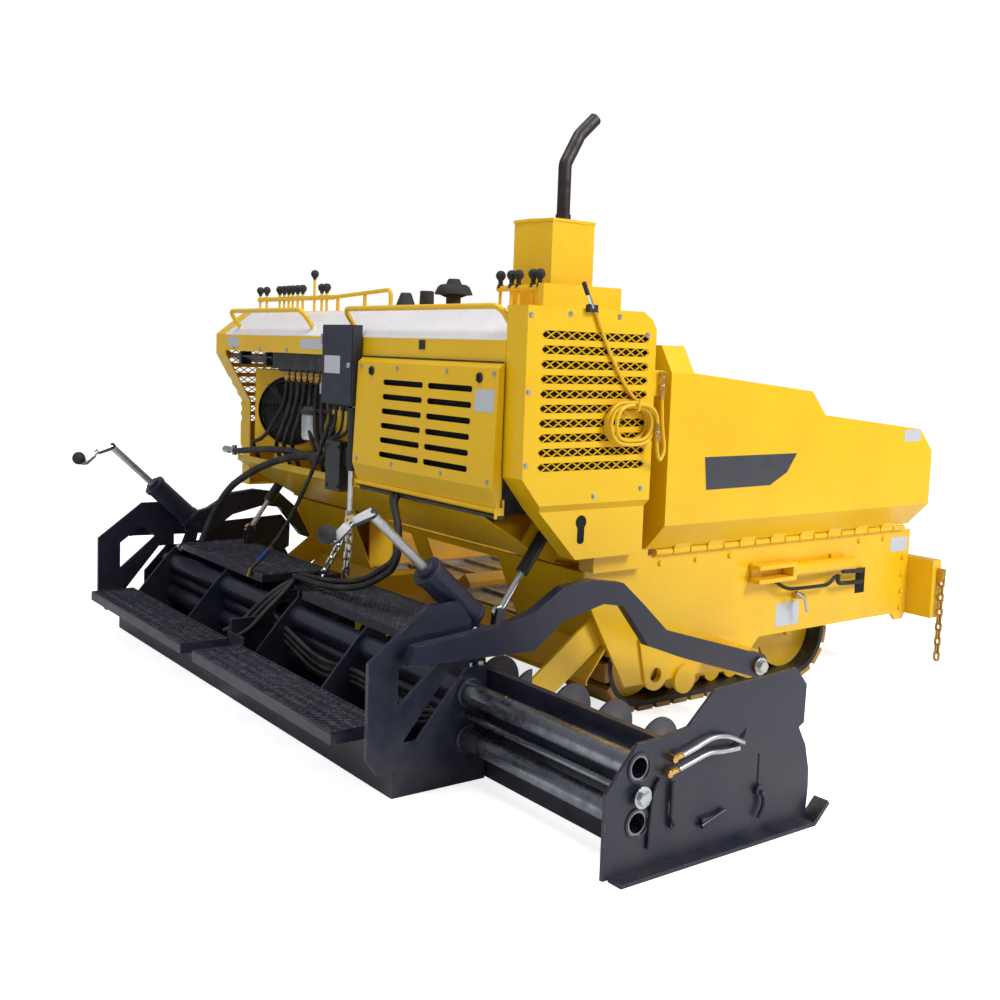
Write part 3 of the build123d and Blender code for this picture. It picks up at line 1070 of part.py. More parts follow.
with BuildPart() as screed_frame:
    with BuildSketch(Plane.YZ.offset(-SCREED_HALF_WIDTH)):
        with BuildLine():
            Polyline(
                (SCREED_REAR, WALKWAY_FOOT - SEAT), (SCREED_REAR, 0), (SCREED_FRONT, 0),
                (SCREED_FRONT, SCREED_BOX_HEIGHT), (SCREED_FRONT - 10, SCREED_BOX_HEIGHT),
                (SCREED_FRONT - 10, 10), (SCREED_REAR + 10, 10), (SCREED_REAR + 10, WALKWAY_FOOT - SEAT), close=True,
            )
        make_face()
    extrude(amount=2 * SCREED_HALF_WIDTH)
    for x in (-77, 67, -645, 635, -SCREED_HALF_WIDTH - END_PLATE, SCREED_HALF_WIDTH):
        with BuildSketch(Plane.YZ.offset(x)):
            with BuildLine():
                Polyline(*BULKHEAD, close=True)
            make_face()
        extrude(amount=10 if abs(x) < SCREED_HALF_WIDTH else END_PLATE)
    # side frames outside the end plates
    for x in (-SCREED_HALF_WIDTH - END_PLATE - HEAVY_PLATE, SCREED_HALF_WIDTH + END_PLATE):
        with BuildSketch(Plane.YZ.offset(x)):
            with BuildLine():
                Polyline(*SIDE_FRAME, close=True)
            make_face()
            with BuildLine():
                Polyline(*SIDE_FRAME_WINDOW, close=True)
            make_face(mode=Mode.SUBTRACT)
        extrude(amount=HEAVY_PLATE)
    # steps with slots across, on the bulkheads
    for left, right in STEPS:
        with Locations(((left + right) / 2, (STEP_REAR + STEP_FRONT) / 2, SCREED_TOP - STEP_THICKNESS / 2)):
            Box(right - left, STEP_FRONT - STEP_REAR, STEP_THICKNESS)
        with Locations(((left + right) / 2, (STEP_REAR + STEP_FRONT) / 2, SCREED_TOP - 4 - STEP_THICKNESS / 2)):
            Box(right - left - 12, STEP_FRONT - STEP_REAR - 12, STEP_THICKNESS, mode=Mode.SUBTRACT)
    # bulkheads reach under the hollow steps
    for x in (67, -645, 635):
        with Locations((x + 5, (-955 + SCREED_FRONT - 8) / 2, SCREED_TOP - STEP_THICKNESS / 2 - 2)):
            Box(10, 955 + SCREED_FRONT - 8, STEP_THICKNESS)
    # guide tubes of the extensions and barrels of their rams
    for sign in (-1, 1):
        for z, radius in ((UPPER_GUIDE_Z, GUIDE_RADIUS), (LOWER_GUIDE_Z, GUIDE_RADIUS), (RAM_Z, RAM_BARREL_RADIUS)):
            length = SCREED_HALF_WIDTH + END_PLATE - GUIDE_INNER
            with BuildSketch(Plane.YZ.offset(sign * (GUIDE_INNER + length / 2) - length / 2)):
                with Locations((GUIDE_Y, z)):
                    Circle(radius)
            extrude(amount=length)
    # chain lug in the middle and cheeks for the lift cylinders
    with Locations((-72, -812, SCREED_TOP - 20)):
        Box(40, 156, 40)
    for sign in (-1, 1):
        for x in (LIFT_X - 18 + 3, LIFT_X + 12 + 3):
            with BuildSketch(Plane.YZ.offset(sign * x - 3)):
                with BuildLine():
                    Polyline(
                        (LIFT_FOOT_Y - 30, SCREED_TOP - 2), (LIFT_FOOT_Y + 22, SCREED_TOP - 2),
                        (LIFT_FOOT_Y + 18, LIFT_FOOT_Z + 16), (LIFT_FOOT_Y - 18, LIFT_FOOT_Z + 16), close=True,
                    )
                make_face()
            extrude(amount=6)
        with BuildSketch(Plane.YZ.offset(sign * LIFT_X - 16)):
            with Locations((LIFT_FOOT_Y, LIFT_FOOT_Z)):
                Circle(8)
        extrude(amount=32)
        # brackets of the depth cranks
        with BuildSketch(Plane.YZ.offset(sign * (CRANK_X) - 10)):
            with BuildLine():
                Polyline((-955, 385), (-879, 385), (-850, 505), (-905, 505), close=True)
            make_face()
        extrude(amount=20)
        with Locations((sign * (CRANK_X + 15), -917, 385)):
            Box(80, 74, 13)
    # bores for the slide tubes and the rods
    for sign in (-1, 1):
        for z, radius in ((UPPER_GUIDE_Z, SLIDE_TUBE_RADIUS + SLIDE_FIT),
                          (LOWER_GUIDE_Z, SLIDE_TUBE_RADIUS + SLIDE_FIT),
                          (RAM_Z, RAM_ROD_RADIUS + PIN_CLEARANCE)):
            length = SCREED_HALF_WIDTH + END_PLATE - GUIDE_INNER + 2
            with BuildSketch(Plane.YZ.offset(sign * (GUIDE_INNER - 1 + length / 2) - length / 2)):
                with Locations((GUIDE_Y, z)):
                    Circle(radius)
            extrude(amount=length, mode=Mode.SUBTRACT)
keep("screed_frame", screed_frame.part)

# Walkway gratings behind the screed
with BuildPart() as walkway:
    WALKWAY_LENGTH = WALKWAY_OUTER - WALKWAY_INNER
    WALKWAY_X = (WALKWAY_INNER + WALKWAY_OUTER) / 2
    WALKWAY_Y = WALKWAY_REAR + WALKWAY_DEPTH / 2
    with Locations((WALKWAY_X, WALKWAY_Y, WALKWAY_TOP - GRATING_DEPTH / 2)):
        Box(WALKWAY_LENGTH, WALKWAY_DEPTH, GRATING_DEPTH)
    with Locations((WALKWAY_X, WALKWAY_Y, WALKWAY_TOP - GRATING_DEPTH / 2 - 6)):
        Box(WALKWAY_LENGTH - 12, WALKWAY_DEPTH - 12, GRATING_DEPTH, mode=Mode.SUBTRACT)
    with Locations((WALKWAY_X, WALKWAY_Y, WALKWAY_TOP)):
        with GridLocations(WALKWAY_LENGTH / 4, WALKWAY_DEPTH / 5, 4, 5):
            Box(WALKWAY_LENGTH / 4 - 14, 20, 30, mode=Mode.SUBTRACT)
both_sides("walkway", walkway.part)


def extension(gate_inner):
    """Sliding extension up to its gate: box with a sloped front, slide tubes and ram rod."""
    inner_end = gate_inner - EXTENSION_LENGTH
    with BuildPart() as box:
        with BuildSketch(Plane.YZ.offset(inner_end)):
            with BuildLine():
                Polyline(
                    (EXTENSION_REAR, 0), (EXTENSION_FRONT, 0), (EXTENSION_FRONT, EXTENSION_WALL),
                    (EXTENSION_REAR + 26, EXTENSION_HEIGHT), (EXTENSION_REAR, EXTENSION_HEIGHT), close=True,
                )
            make_face()
            with BuildLine():
                Polyline(
                    (EXTENSION_REAR + 10, EXTENSION_WALL), (EXTENSION_FRONT - 18, EXTENSION_WALL),
                    (EXTENSION_REAR + 10, 300), close=True,
                )
            make_face(mode=Mode.SUBTRACT)
        extrude(amount=EXTENSION_LENGTH - SEAT)
        # outer bulkhead that holds the tubes
        with BuildSketch(Plane.YZ.offset(gate_inner - GATE_PLATE - SEAT)):
            with BuildLine():
                Polyline(
                    (-1005, 100), (-1005, 235), (-960, 366), (EXTENSION_REAR + 1, 366), (EXTENSION_REAR + 1, 100),
                    close=True,
                )
            make_face()
        extrude(amount=GATE_PLATE)
        for z in (UPPER_GUIDE_Z, LOWER_GUIDE_Z):
            with BuildSketch(Plane.YZ.offset(gate_inner + GATE_PLATE - SLIDE_TUBE_LENGTH)):
                with Locations((GUIDE_Y, z)):
                    Circle(SLIDE_TUBE_RADIUS)
            extrude(amount=SLIDE_TUBE_LENGTH)
            with BuildSketch(Plane.YZ.offset(gate_inner + GATE_PLATE - 300)):
                with Locations((GUIDE_Y, z)):
                    Circle(SLIDE_TUBE_RADIUS - 8)
            extrude(amount=300, mode=Mode.SUBTRACT)
        with BuildSketch(Plane.YZ.offset(gate_inner + GATE_PLATE - SLIDE_TUBE_LENGTH)):
            with Locations((GUIDE_Y, RAM_Z)):
                Circle(RAM_ROD_RADIUS)
        extrude(amount=SLIDE_TUBE_LENGTH + 6)
        with BuildSketch(Plane.YZ.offset(gate_inner + GATE_PLATE + SEAT)):
            with Locations((GUIDE_Y, RAM_Z)):
                RegularPolygon(24, 6)
        extrude(amount=18)
    return box.part


GATE_OUTLINE = [
    (-1072, 12), (-1072, 255), (-956, 379), (-868, 381), (-761, 395), (-656, 487), (-296, 504), (-243, 446),
    (-246, 325), (-269, 313), (-232, 250), (-211, 170), (-208, 110), (-215, 12),
]


def end_gate(gate_inner):
    """End gate of an extension with its ski; the slide tubes end in its holes."""
    with BuildPart() as gate:
        with BuildSketch(Plane.YZ.offset(gate_inner)):
            with BuildLine():
                Polyline(*GATE_OUTLINE, close=True)
            make_face()
            with Locations((GUIDE_Y, UPPER_GUIDE_Z), (GUIDE_Y, LOWER_GUIDE_Z)):
                Circle(SLIDE_TUBE_RADIUS + SEAT, mode=Mode.SUBTRACT)
            with Locations((GUIDE_Y, RAM_Z)):
                Circle(RAM_ROD_RADIUS + SEAT, mode=Mode.SUBTRACT)
        extrude(amount=GATE_PLATE)
        with BuildSketch(Plane.YZ.offset(gate_inner)):
            with BuildLine():
                Polyline((-1040, 0), (-215, 0), (-150, 58), (-158, 70), (-222, 12.5), (-1040, 12.5), close=True)
            make_face()
        extrude(amount=SKI_WIDTH)
        # handle bar low on the outer face
        with Locations((gate_inner + GATE_PLATE + 6, -650, 110)):
            Box(14, 96, 10)
    return gate.part


GATE_RIGHT_X = GATE_CLOSED_X - GATE_PLATE + RIGHT_EXTENSION_OUT
GATE_LEFT_X = GATE_CLOSED_X - GATE_PLATE
keep("extension_right", extension(GATE_RIGHT_X))
keep("extension_left", mirror(extension(GATE_LEFT_X), about=Plane.YZ))
keep("end_gate_right", end_gate(GATE_RIGHT_X))
keep("end_gate_left", mirror(end_gate(GATE_LEFT_X), about=Plane.YZ))

# Tow arms: flat plates bent over the track's end, hinged on the tractor's pins
with BuildPart() as tow_arm:
    with BuildSketch(Plane.YZ.offset(ARM_INNER)):
        with BuildLine():
            Polyline(
                (-1223, 514), (-878, 543), (-752, 573), (-624, 647), (-489, 662), (-345, 639), (-241, 552),
                (-117, 442), (397, 290), (408, 190), (-20, 324), (-206, 393), (-340, 555), (-437, 572),
                (-618, 531), (-746, 442), (-1247, 455), close=True,
            )
        make_face()
        with Locations((TOW_PIN_Y, TOW_PIN_Z)):
            Circle(ARM_EYE_RADIUS)
            Circle(TOW_PIN_RADIUS + PIN_CLEARANCE, mode=Mode.SUBTRACT)
    extrude(amount=ARM_THICKNESS)
    SPACER_START = SCREED_HALF_WIDTH + END_PLATE + HEAVY_PLATE + SEAT
    with BuildSketch(Plane.YZ.offset(SPACER_START)):
        with Locations((-1010, 495), (-1180, 478)):
            Circle(22)
    extrude(amount=ARM_INNER - SPACER_START + 1)
both_sides("tow_arm", tow_arm.part)

# Depth cranks: a fat screw housing with a lug, the screw and the bent handle with its ball
with BuildPart() as depth_crank:
    crank_low = Vector(CRANK_X, -900, 545)
    crank_high = Vector(CRANK_X, -1089, 719)
    crank_axis = (crank_low - crank_high).normalized()
    with BuildSketch(Plane(origin=crank_high, z_dir=crank_axis)):
        Circle(CRANK_BODY_RADIUS)
    extrude(amount=(crank_low - crank_high).length)
    with BuildSketch(Plane(origin=crank_high, z_dir=crank_axis)):
        Circle(14)
    extrude(amount=-300)
    with BuildSketch(Plane.YZ.offset(CRANK_X + 10 + SEAT)):
        with BuildLine():
            Polyline((-935, 560), (-880, 520), (-858, 430), (-905, 425), close=True)
        make_face()
    extrude(amount=PLATE)
    with BuildLine() as crank_handle:
        FilletPolyline(
            (CRANK_X, -1306, 923), (CRANK_X, -1385, 893), (CRANK_X, -1445, 840), (CRANK_X, -1467, 866), radius=12,
        )
    with BuildSketch(Plane(origin=crank_handle.line @ 0, z_dir=crank_handle.line % 0)):
        Circle(9)
    sweep(path=crank_handle.line)
    with Locations((CRANK_X, -1306, 920), (CRANK_X, -1467, 866)):
        Sphere(CRANK_BALL_RADIUS / 2 + 4)
    with Locations((CRANK_X, -1467, 866)):
        Sphere(CRANK_BALL_RADIUS)
both_sides("depth_crank", depth_crank.part)

# Lift cylinders at the sides: barrel hangs on the gusset pin, the rod's eye is open round its pin
lift_top = Vector(LIFT_X, LIFT_TOP_Y, LIFT_TOP_Z)
lift_foot = Vector(LIFT_X, LIFT_FOOT_Y, LIFT_FOOT_Z)
lift_axis = (lift_foot - lift_top).normalized()
lift_plane = Plane(origin=lift_top, x_dir=(1, 0, 0), z_dir=lift_axis)
with BuildPart() as lift_barrel:
    with BuildSketch(lift_plane.offset(20)):
        Circle(LIFT_BARREL_RADIUS)
    extrude(amount=LIFT_BARREL_END - 20)
    with BuildSketch(Plane.YZ.offset(LIFT_X - 12)):
        with Locations((LIFT_TOP_Y, LIFT_TOP_Z)):
            Circle(24)
    extrude(amount=24)
    with BuildSketch(Plane.YZ.offset(LIFT_X - 25)):
        with Locations((LIFT_TOP_Y, LIFT_TOP_Z)):
            Circle(LIFT_PIN_RADIUS + PIN_CLEARANCE)
    extrude(amount=50, mode=Mode.SUBTRACT)
    with BuildSketch(lift_plane.offset(28)):
        Circle(LIFT_ROD_RADIUS + PIN_CLEARANCE)
    extrude(amount=LIFT_BARREL_END - 27, mode=Mode.SUBTRACT)
both_sides("lift_barrel", lift_barrel.part)
with BuildPart() as lift_rod:
    with BuildSketch(lift_plane.offset(LIFT_BARREL_END - 10)):
        Circle(LIFT_ROD_RADIUS)
    extrude(amount=(lift_foot - lift_top).length - LIFT_BARREL_END + 10 - 14)
    with BuildSketch(Plane.YZ.offset(LIFT_X - 9)):
        with Locations((LIFT_FOOT_Y, LIFT_FOOT_Z)):
            Circle(26)
            Circle(LIFT_EYE_BORE, mode=Mode.SUBTRACT)
    extrude(amount=18)
both_sides("lift_rod", lift_rod.part)

# Cylinders on the side plates that set the height of the tow point
SIDE_CYLINDER_Z = 555
with BuildPart() as side_cylinder:
    with BuildSketch(Plane.XZ.offset(-1230)):
        with Locations((BODY_HALF_WIDTH + 34, SIDE_CYLINDER_Z)):
            Circle(30)
    extrude(amount=426)
    with BuildSketch(Plane.XZ.offset(-810)):
        with Locations((BODY_HALF_WIDTH + 34, SIDE_CYLINDER_Z)):
            Rectangle(56, 76)
            Rectangle(60, 40, mode=Mode.SUBTRACT)
    extrude(amount=230)
    with Locations((BODY_HALF_WIDTH + 34, 806, SIDE_CYLINDER_Z)):
        Box(56, 24, 76)
    for y in (620, 1140):
        with Locations((BODY_HALF_WIDTH + SEAT + 6, y, SIDE_CYLINDER_Z)):
            Box(12, 60, 84)
both_sides("side_cylinder", side_cylinder.part)

# Chain that hangs from the right end of the front beam
CHAIN_X = BEAM_HALF_WIDTH + 20
CHAIN_Y = BEAM_BACK + 46
with BuildPart() as hanging_chain:
    with Locations((CHAIN_X - 4, CHAIN_Y, 470)):
        Box(2 * (CHAIN_X - 4 - BEAM_HALF_WIDTH - SEAT), 24, 60)
    for plane, length in chain_links((CHAIN_X, CHAIN_Y, 452), (CHAIN_X, CHAIN_Y, 70), CHAIN_WIRE, 11):
        with BuildSketch(plane):
            SlotOverall(length, 3.4 * CHAIN_WIRE)
            SlotOverall(length - 2 * CHAIN_WIRE, 1.4 * CHAIN_WIRE, mode=Mode.SUBTRACT)
        extrude(amount=CHAIN_WIRE / 2, both=True)
keep("hanging_chain", hanging_chain.part)

# Wash-down hose on the right side box: hose run, coil on a hook, and the spray gun
HOSE_RADIUS = 7
HOSE_X = HOOD_HALF_WIDTH + SEAT + HOSE_RADIUS + 1
HOSE_RUN = [(-450.9, 1589.5), (-393.9, 1469.3), (-273.6, 1290.2)]
HOSE_TURN = 8.5
HOSE_RADII = [0.45 * 133.0 / tan(radians(HOSE_TURN / 2))]
with BuildPart() as wash_hose:
    with BuildLine() as hose_line:
        FilletPolyline(*[(HOSE_X, y, z) for y, z in HOSE_RUN], radius=HOSE_RADII)
    with BuildSketch(Plane(origin=hose_line.line @ 0, z_dir=hose_line.line % 0)):
        Circle(HOSE_RADIUS)
    sweep(path=hose_line.line)
keep("wash_hose", wash_hose.part)
with BuildPart() as hose_coil:
    with BuildSketch(Plane.YZ.offset(HOOD_HALF_WIDTH + SEAT)):
        with Locations((-276.6, 1201)):
            SlotOverall(231, 168)
            SlotOverall(171, 108, mode=Mode.SUBTRACT)
    extrude(amount=26)
keep("hose_coil", hose_coil.part)
with BuildPart() as spray_gun:
    gun_top = Vector(HOSE_X + 4, -517.5, 1691)
    gun_mid = Vector(HOSE_X + 4, -477.6, 1613)
    with BuildSketch(Plane(origin=gun_top, z_dir=gun_mid - gun_top)):
        Circle(8)
    extrude(amount=(gun_mid - gun_top).length)
    with Locations((HOOD_HALF_WIDTH + SEAT + 10, -472.7, 1603)):
        Box(20, 40, 26)
    # ferrule whose end face meets the hose's
    hose_start = Vector(HOSE_X, *HOSE_RUN[0])
    hose_next = Vector(HOSE_X, *HOSE_RUN[1])
    with BuildSketch(Plane(origin=hose_start, z_dir=hose_next - hose_start)):
        Circle(HOSE_RADIUS + 1)
    extrude(amount=-18)
keep("spray_gun", spray_gun.part)

# One shift brings the origin to the ground below the middle of the machine
lows = [shape.bounding_box().min for shape in pieces.values()]
highs = [shape.bounding_box().max for shape in pieces.values()]
low = Vector(min(v.X for v in lows), min(v.Y for v in lows), min(v.Z for v in lows))
high = Vector(max(v.X for v in highs), max(v.Y for v in highs), max(v.Z for v in highs))
SHIFT = Vector(-(low.X + high.X) / 2, -(low.Y + high.Y) / 2, -low.Z)
for name, shape in pieces.items():
    moved = shape.moved(Location(SHIFT))
    moved.label = name
    export_step(moved, "parts/" + name + ".step")
print("shift", tuple(round(v, 3) for v in SHIFT))
print("size", tuple(round(v, 1) for v in high - low))
print("hose radii", [round(radius, 1) for radius in HOSE_RADII])
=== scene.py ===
"""Looks of a tracked asphalt paver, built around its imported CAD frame.

Sizes are millimetres in the machine's own frame (x = 0 in the centre plane,
y = 0 at the rear end of the hopper hinge, z = 0 on the ground); `row` brings
them to the shared frame in metres.
"""
import json
import logging
import math
from dataclasses import dataclass
from enum import Enum

import bmesh
import bpy
import numpy as np
from mathutils import Matrix

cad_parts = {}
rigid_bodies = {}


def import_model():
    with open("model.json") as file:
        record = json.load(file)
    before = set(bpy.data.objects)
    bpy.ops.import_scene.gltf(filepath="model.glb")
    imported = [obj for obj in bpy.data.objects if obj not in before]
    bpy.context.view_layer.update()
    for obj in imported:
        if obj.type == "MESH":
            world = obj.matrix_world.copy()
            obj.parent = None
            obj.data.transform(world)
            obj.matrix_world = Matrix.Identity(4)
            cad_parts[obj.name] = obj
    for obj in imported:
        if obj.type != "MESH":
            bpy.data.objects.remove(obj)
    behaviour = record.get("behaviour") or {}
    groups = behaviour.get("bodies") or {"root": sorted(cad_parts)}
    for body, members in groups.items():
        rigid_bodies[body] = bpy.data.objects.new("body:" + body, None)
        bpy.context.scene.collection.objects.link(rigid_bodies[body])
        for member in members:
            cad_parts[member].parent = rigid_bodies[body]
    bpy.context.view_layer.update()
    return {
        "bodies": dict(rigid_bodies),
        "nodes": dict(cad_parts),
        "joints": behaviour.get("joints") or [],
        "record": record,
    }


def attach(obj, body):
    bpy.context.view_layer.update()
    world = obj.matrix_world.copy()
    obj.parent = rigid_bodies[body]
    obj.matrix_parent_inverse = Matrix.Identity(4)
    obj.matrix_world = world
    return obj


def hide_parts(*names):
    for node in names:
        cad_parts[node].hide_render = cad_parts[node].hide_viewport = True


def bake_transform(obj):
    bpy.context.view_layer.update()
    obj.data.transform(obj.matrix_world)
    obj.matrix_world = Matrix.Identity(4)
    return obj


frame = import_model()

LOG = logging.getLogger("paver")
SHIFT = np.array([-343.5, -242.5, 0.0])
NOISE = "ShaderNodeTexNoise"
RANGE = "ShaderNodeMapRange"
MATH = "ShaderNodeMath"
MIX = "ShaderNodeMix"
VECTOR = "ShaderNodeVectorMath"


class Axis(Enum):
    """Direction that a profile is carried along or turned about."""

    X = 0
    Y = 1
    Z = 2


class Body(Enum):
    """CAD bodies that trim pieces ride on."""

    TRACTOR = "tractor"
    SCREED = "screed"
    DOOR = "louvre_door"
    WING_RIGHT = "wing_right"
    WING_LEFT = "wing_left"
    GATE_RIGHT = "extension_right"
    GATE_LEFT = "extension_left"
    HOIST = "hoist_rod"


def row(points: object) -> np.ndarray:
    """Bring machine millimetres to the shared frame in metres: shift, then divide by 1000."""
    return (np.asarray(points, float) + SHIFT) / 1000.0


def linear(code: str) -> tuple[float, float, float, float]:
    """Turn an sRGB hex code into a linear colour.

    Args:
        code: Six hex digits with a leading hash.

    Returns:
        Linear red, green and blue, and an alpha of 1.
    """
    srgb = np.array([int(code[i:i + 2], 16) for i in (1, 3, 5)]) / 255.0
    return (*np.where(srgb <= 0.04045, srgb / 12.92, ((srgb + 0.055) / 1.055) ** 2.4).tolist(), 1.0)


class Nodes:
    """Shader nodes of one material, with the Object coordinates that its patterns read."""

    def __init__(self, tree: bpy.types.NodeTree) -> None:
        """Clear the tree and take the Object coordinates."""
        tree.nodes.clear()
        self.tree = tree
        self.place = self.add("ShaderNodeTexCoord").outputs["Object"]
        self.split = self.add("ShaderNodeSeparateXYZ", {0: self.place})

    def add(self, kind: str, inputs: dict | None = None, **settings: object) -> bpy.types.Node:
        """Add a node with its settings, values and links.

        Args:
            kind: Blender's node type.
            inputs: Values, sockets or nodes by input name or by place among the inputs in use.
            **settings: Properties of the node.

        Returns:
            The new node; as an input of another it stands for its first output in use.
        """
        node = self.tree.nodes.new(kind)
        for key, value in settings.items():
            setattr(node, key, value)
        used = [socket for socket in node.inputs if socket.enabled]
        for key, value in (inputs or {}).items():
            target = node.inputs[key] if isinstance(key, str) else used[key]
            if isinstance(value, bpy.types.Node):
                value = next(socket for socket in value.outputs if socket.enabled)
            if isinstance(value, bpy.types.NodeSocket):
                self.tree.links.new(value, target)
            else:
                target.default_value = value
        return node

    def clouds(self, size: float, start: float, end: float, low: float = 0.0,
               high: float = 1.0) -> bpy.types.Node:
        """Soft clouds over the surface, from noise spread between two values.

        Args:
            size: Width of a cloud in millimetres.
            start: Noise that gives `low`.
            end: Noise that gives `high`.
            low: Least value.
            high: Greatest value.

        Returns:
            The node that holds the value.
        """
        spots = self.add(NOISE, {"Vector": self.place, "Scale": 1000.0 / size, "Detail": 5.0,
                                 "Roughness": 0.6})
        return self.add(RANGE, {0: spots, 1: start, 2: end, 3: low, 4: high})

    def rubbed(self, reach: float) -> bpy.types.Node:
        """Mask of rubbed edges: rounded normal against flat normal, torn by clouds.

        Args:
            reach: Width of the rubbed strip in millimetres.

        Returns:
            The node that holds the mask.
        """
        rounded = self.add("ShaderNodeBevel", {"Radius": reach / 1000.0}, samples=3)
        flat = self.add("ShaderNodeNewGeometry").outputs["Normal"]
        match = self.add(VECTOR, {0: rounded, 1: flat}, operation="DOT_PRODUCT")
        edge = self.add(RANGE, {0: match.outputs["Value"], 1: 0.96, 2: 0.8})
        return self.add(MATH, {0: edge, 1: self.clouds(36.0, 0.5, 0.64)}, operation="MULTIPLY")

    def dust(self, top: float, most: float) -> bpy.types.Node:
        """Mask of road dust that thins out upwards.

        Args:
            top: Height in metres above which none lies.
            most: Share of dust on the ground.

        Returns:
            The node that holds the mask.
        """
        low = self.add(RANGE, {0: self.split.outputs[2], 1: top, 2: 0.0, 3: 0.0, 4: most})
        return self.add(MATH, {0: low, 1: self.clouds(120.0, 0.35, 0.75)}, operation="MULTIPLY")


@dataclass
class Look:
    """What a finish hands to its shader: sockets, nodes or plain values."""

    colour: object
    rough: object
    height: object
    metal: object = 0.0


@dataclass(frozen=True)
class Finish:
    """A surface finish that makes one material and keeps it, and the slot of the record that it is for."""

    name: str
    slot: str
    tint: str
    second: str

    def look(self, nodes: Nodes) -> Look:
        """Colour, roughness, height and metal of the finish."""
        raise NotImplementedError

    def material(self) -> bpy.types.Material:
        """Make the material once.

        Returns:
            The material with one Principled shader.
        """
        made = bpy.data.materials.get(self.name)
        if made:
            return made
        made = bpy.data.materials.new(self.name)
        made.use_nodes = True
        nodes = Nodes(made.node_tree)
        look = self.look(nodes)
        relief = nodes.add("ShaderNodeBump", {"Height": look.height, "Strength": 0.5,
                                              "Distance": self.bump / 1000.0})
        shader = nodes.add("ShaderNodeBsdfPrincipled", {
            "Base Color": look.colour, "Roughness": look.rough, "Metallic": look.metal, "Normal": relief,
            "Coat Weight": self.coat, "Coat Roughness": 0.1})
        nodes.add("ShaderNodeOutputMaterial", {"Surface": shader})
        return made


@dataclass(frozen=True)
class Enamel(Finish):
    """Sprayed two-pack enamel on steel plate: gloss, orange peel, rubbed edges, dust low down."""

    bare: str = "#6E6A62"
    rough: float = 0.34
    coat: float = 0.3
    dusty: float = 0.35
    dust_top: float = 0.8
    bump: float = 0.12

    def look(self, nodes: Nodes) -> Look:
        """Two close tones of paint, dust over them, bare metal on the rubbed edges."""
        colour = nodes.add(MIX, {0: nodes.clouds(420.0, 0.3, 0.7), 1: linear(self.tint),
                                 2: linear(self.second)}, data_type="RGBA")
        dust = nodes.dust(self.dust_top, self.dusty)
        colour = nodes.add(MIX, {0: dust, 1: colour, 2: linear("#8C8579")}, data_type="RGBA")
        clean = nodes.clouds(60.0, 0.3, 0.7, self.rough - 0.06, self.rough + 0.1)
        rough = nodes.add(MIX, {0: dust, 1: clean, 2: 0.85})
        bare = nodes.rubbed(3.0)
        colour = nodes.add(MIX, {0: bare, 1: colour, 2: linear(self.bare)}, data_type="RGBA")
        # orange peel of sprayed enamel, 5 mm from crest to crest
        peel = nodes.add(NOISE, {"Vector": nodes.place, "Scale": 200.0, "Detail": 1.5})
        return Look(colour, rough, peel)


@dataclass(frozen=True)
class Steel(Finish):
    """Bare or plated steel: metallic, with a darker film in patches."""

    rough: float = 0.36
    stained: float = 0.5
    coat: float = 0.0
    bump: float = 0.08

    def look(self, nodes: Nodes) -> Look:
        """Metal, and patches of film that are duller and less metallic."""
        film = nodes.clouds(45.0, 0.45, 0.72, 0.0, self.stained)
        colour = nodes.add(MIX, {0: film, 1: linear(self.tint), 2: linear(self.second)}, data_type="RGBA")
        ground = nodes.clouds(14.0, 0.3, 0.7, self.rough - 0.07, self.rough + 0.07)
        rough = nodes.add(MIX, {0: film, 1: ground, 2: self.rough + 0.25})
        # drawing marks, 2 mm apart
        grain = nodes.add(NOISE, {"Vector": nodes.place, "Scale": 500.0, "Detail": 3.0})
        return Look(colour, rough, grain, nodes.add(MIX, {0: film, 1: 1.0, 2: 0.75}))


@dataclass(frozen=True)
class Moulded(Finish):
    """Moulded plastic, rubber or film: matt, fine grain, a breath of dust in clouds."""

    rough: float = 0.6
    dusted: float = 0.25
    grain: float = 2.0
    coat: float = 0.0
    bump: float = 0.1

    def look(self, nodes: Nodes) -> Look:
        """One tint with dust in clouds over a fine moulded grain."""
        cloud = nodes.clouds(90.0, 0.45, 0.8, 0.0, self.dusted)
        colour = nodes.add(MIX, {0: cloud, 1: linear(self.tint), 2: linear(self.second)}, data_type="RGBA")
        rough = nodes.clouds(30.0, 0.3, 0.7, self.rough - 0.08, self.rough + 0.1)
        grain = nodes.add(NOISE, {"Vector": nodes.place, "Scale": 1000.0 / self.grain, "Detail": 2.0})
        return Look(colour, rough, grain)


class Rule:
    """A rule of place: a mask worked out from Object coordinates."""

    def mask(self, nodes: Nodes) -> bpy.types.Node:
        """Mask, 1 where the second finish lies."""
        raise NotImplementedError


@dataclass(frozen=True)
class Joined(Finish):
    """One finish, and a second one where a rule of place says so."""

    under: Finish
    over: Finish
    rule: Rule
    coat: float = 0.2
    bump: float = 0.12

    def look(self, nodes: Nodes) -> Look:
        """Both finishes, mixed by the rule's mask."""
        share = self.rule.mask(nodes)
        one, two = self.under.look(nodes), self.over.look(nodes)
        return Look(nodes.add(MIX, {0: share, 1: one.colour, 2: two.colour}, data_type="RGBA"),
                    *(nodes.add(MIX, {0: share, 1: a, 2: b}) for a, b in
                      ((one.rough, two.rough), (one.height, two.height), (one.metal, two.metal))))


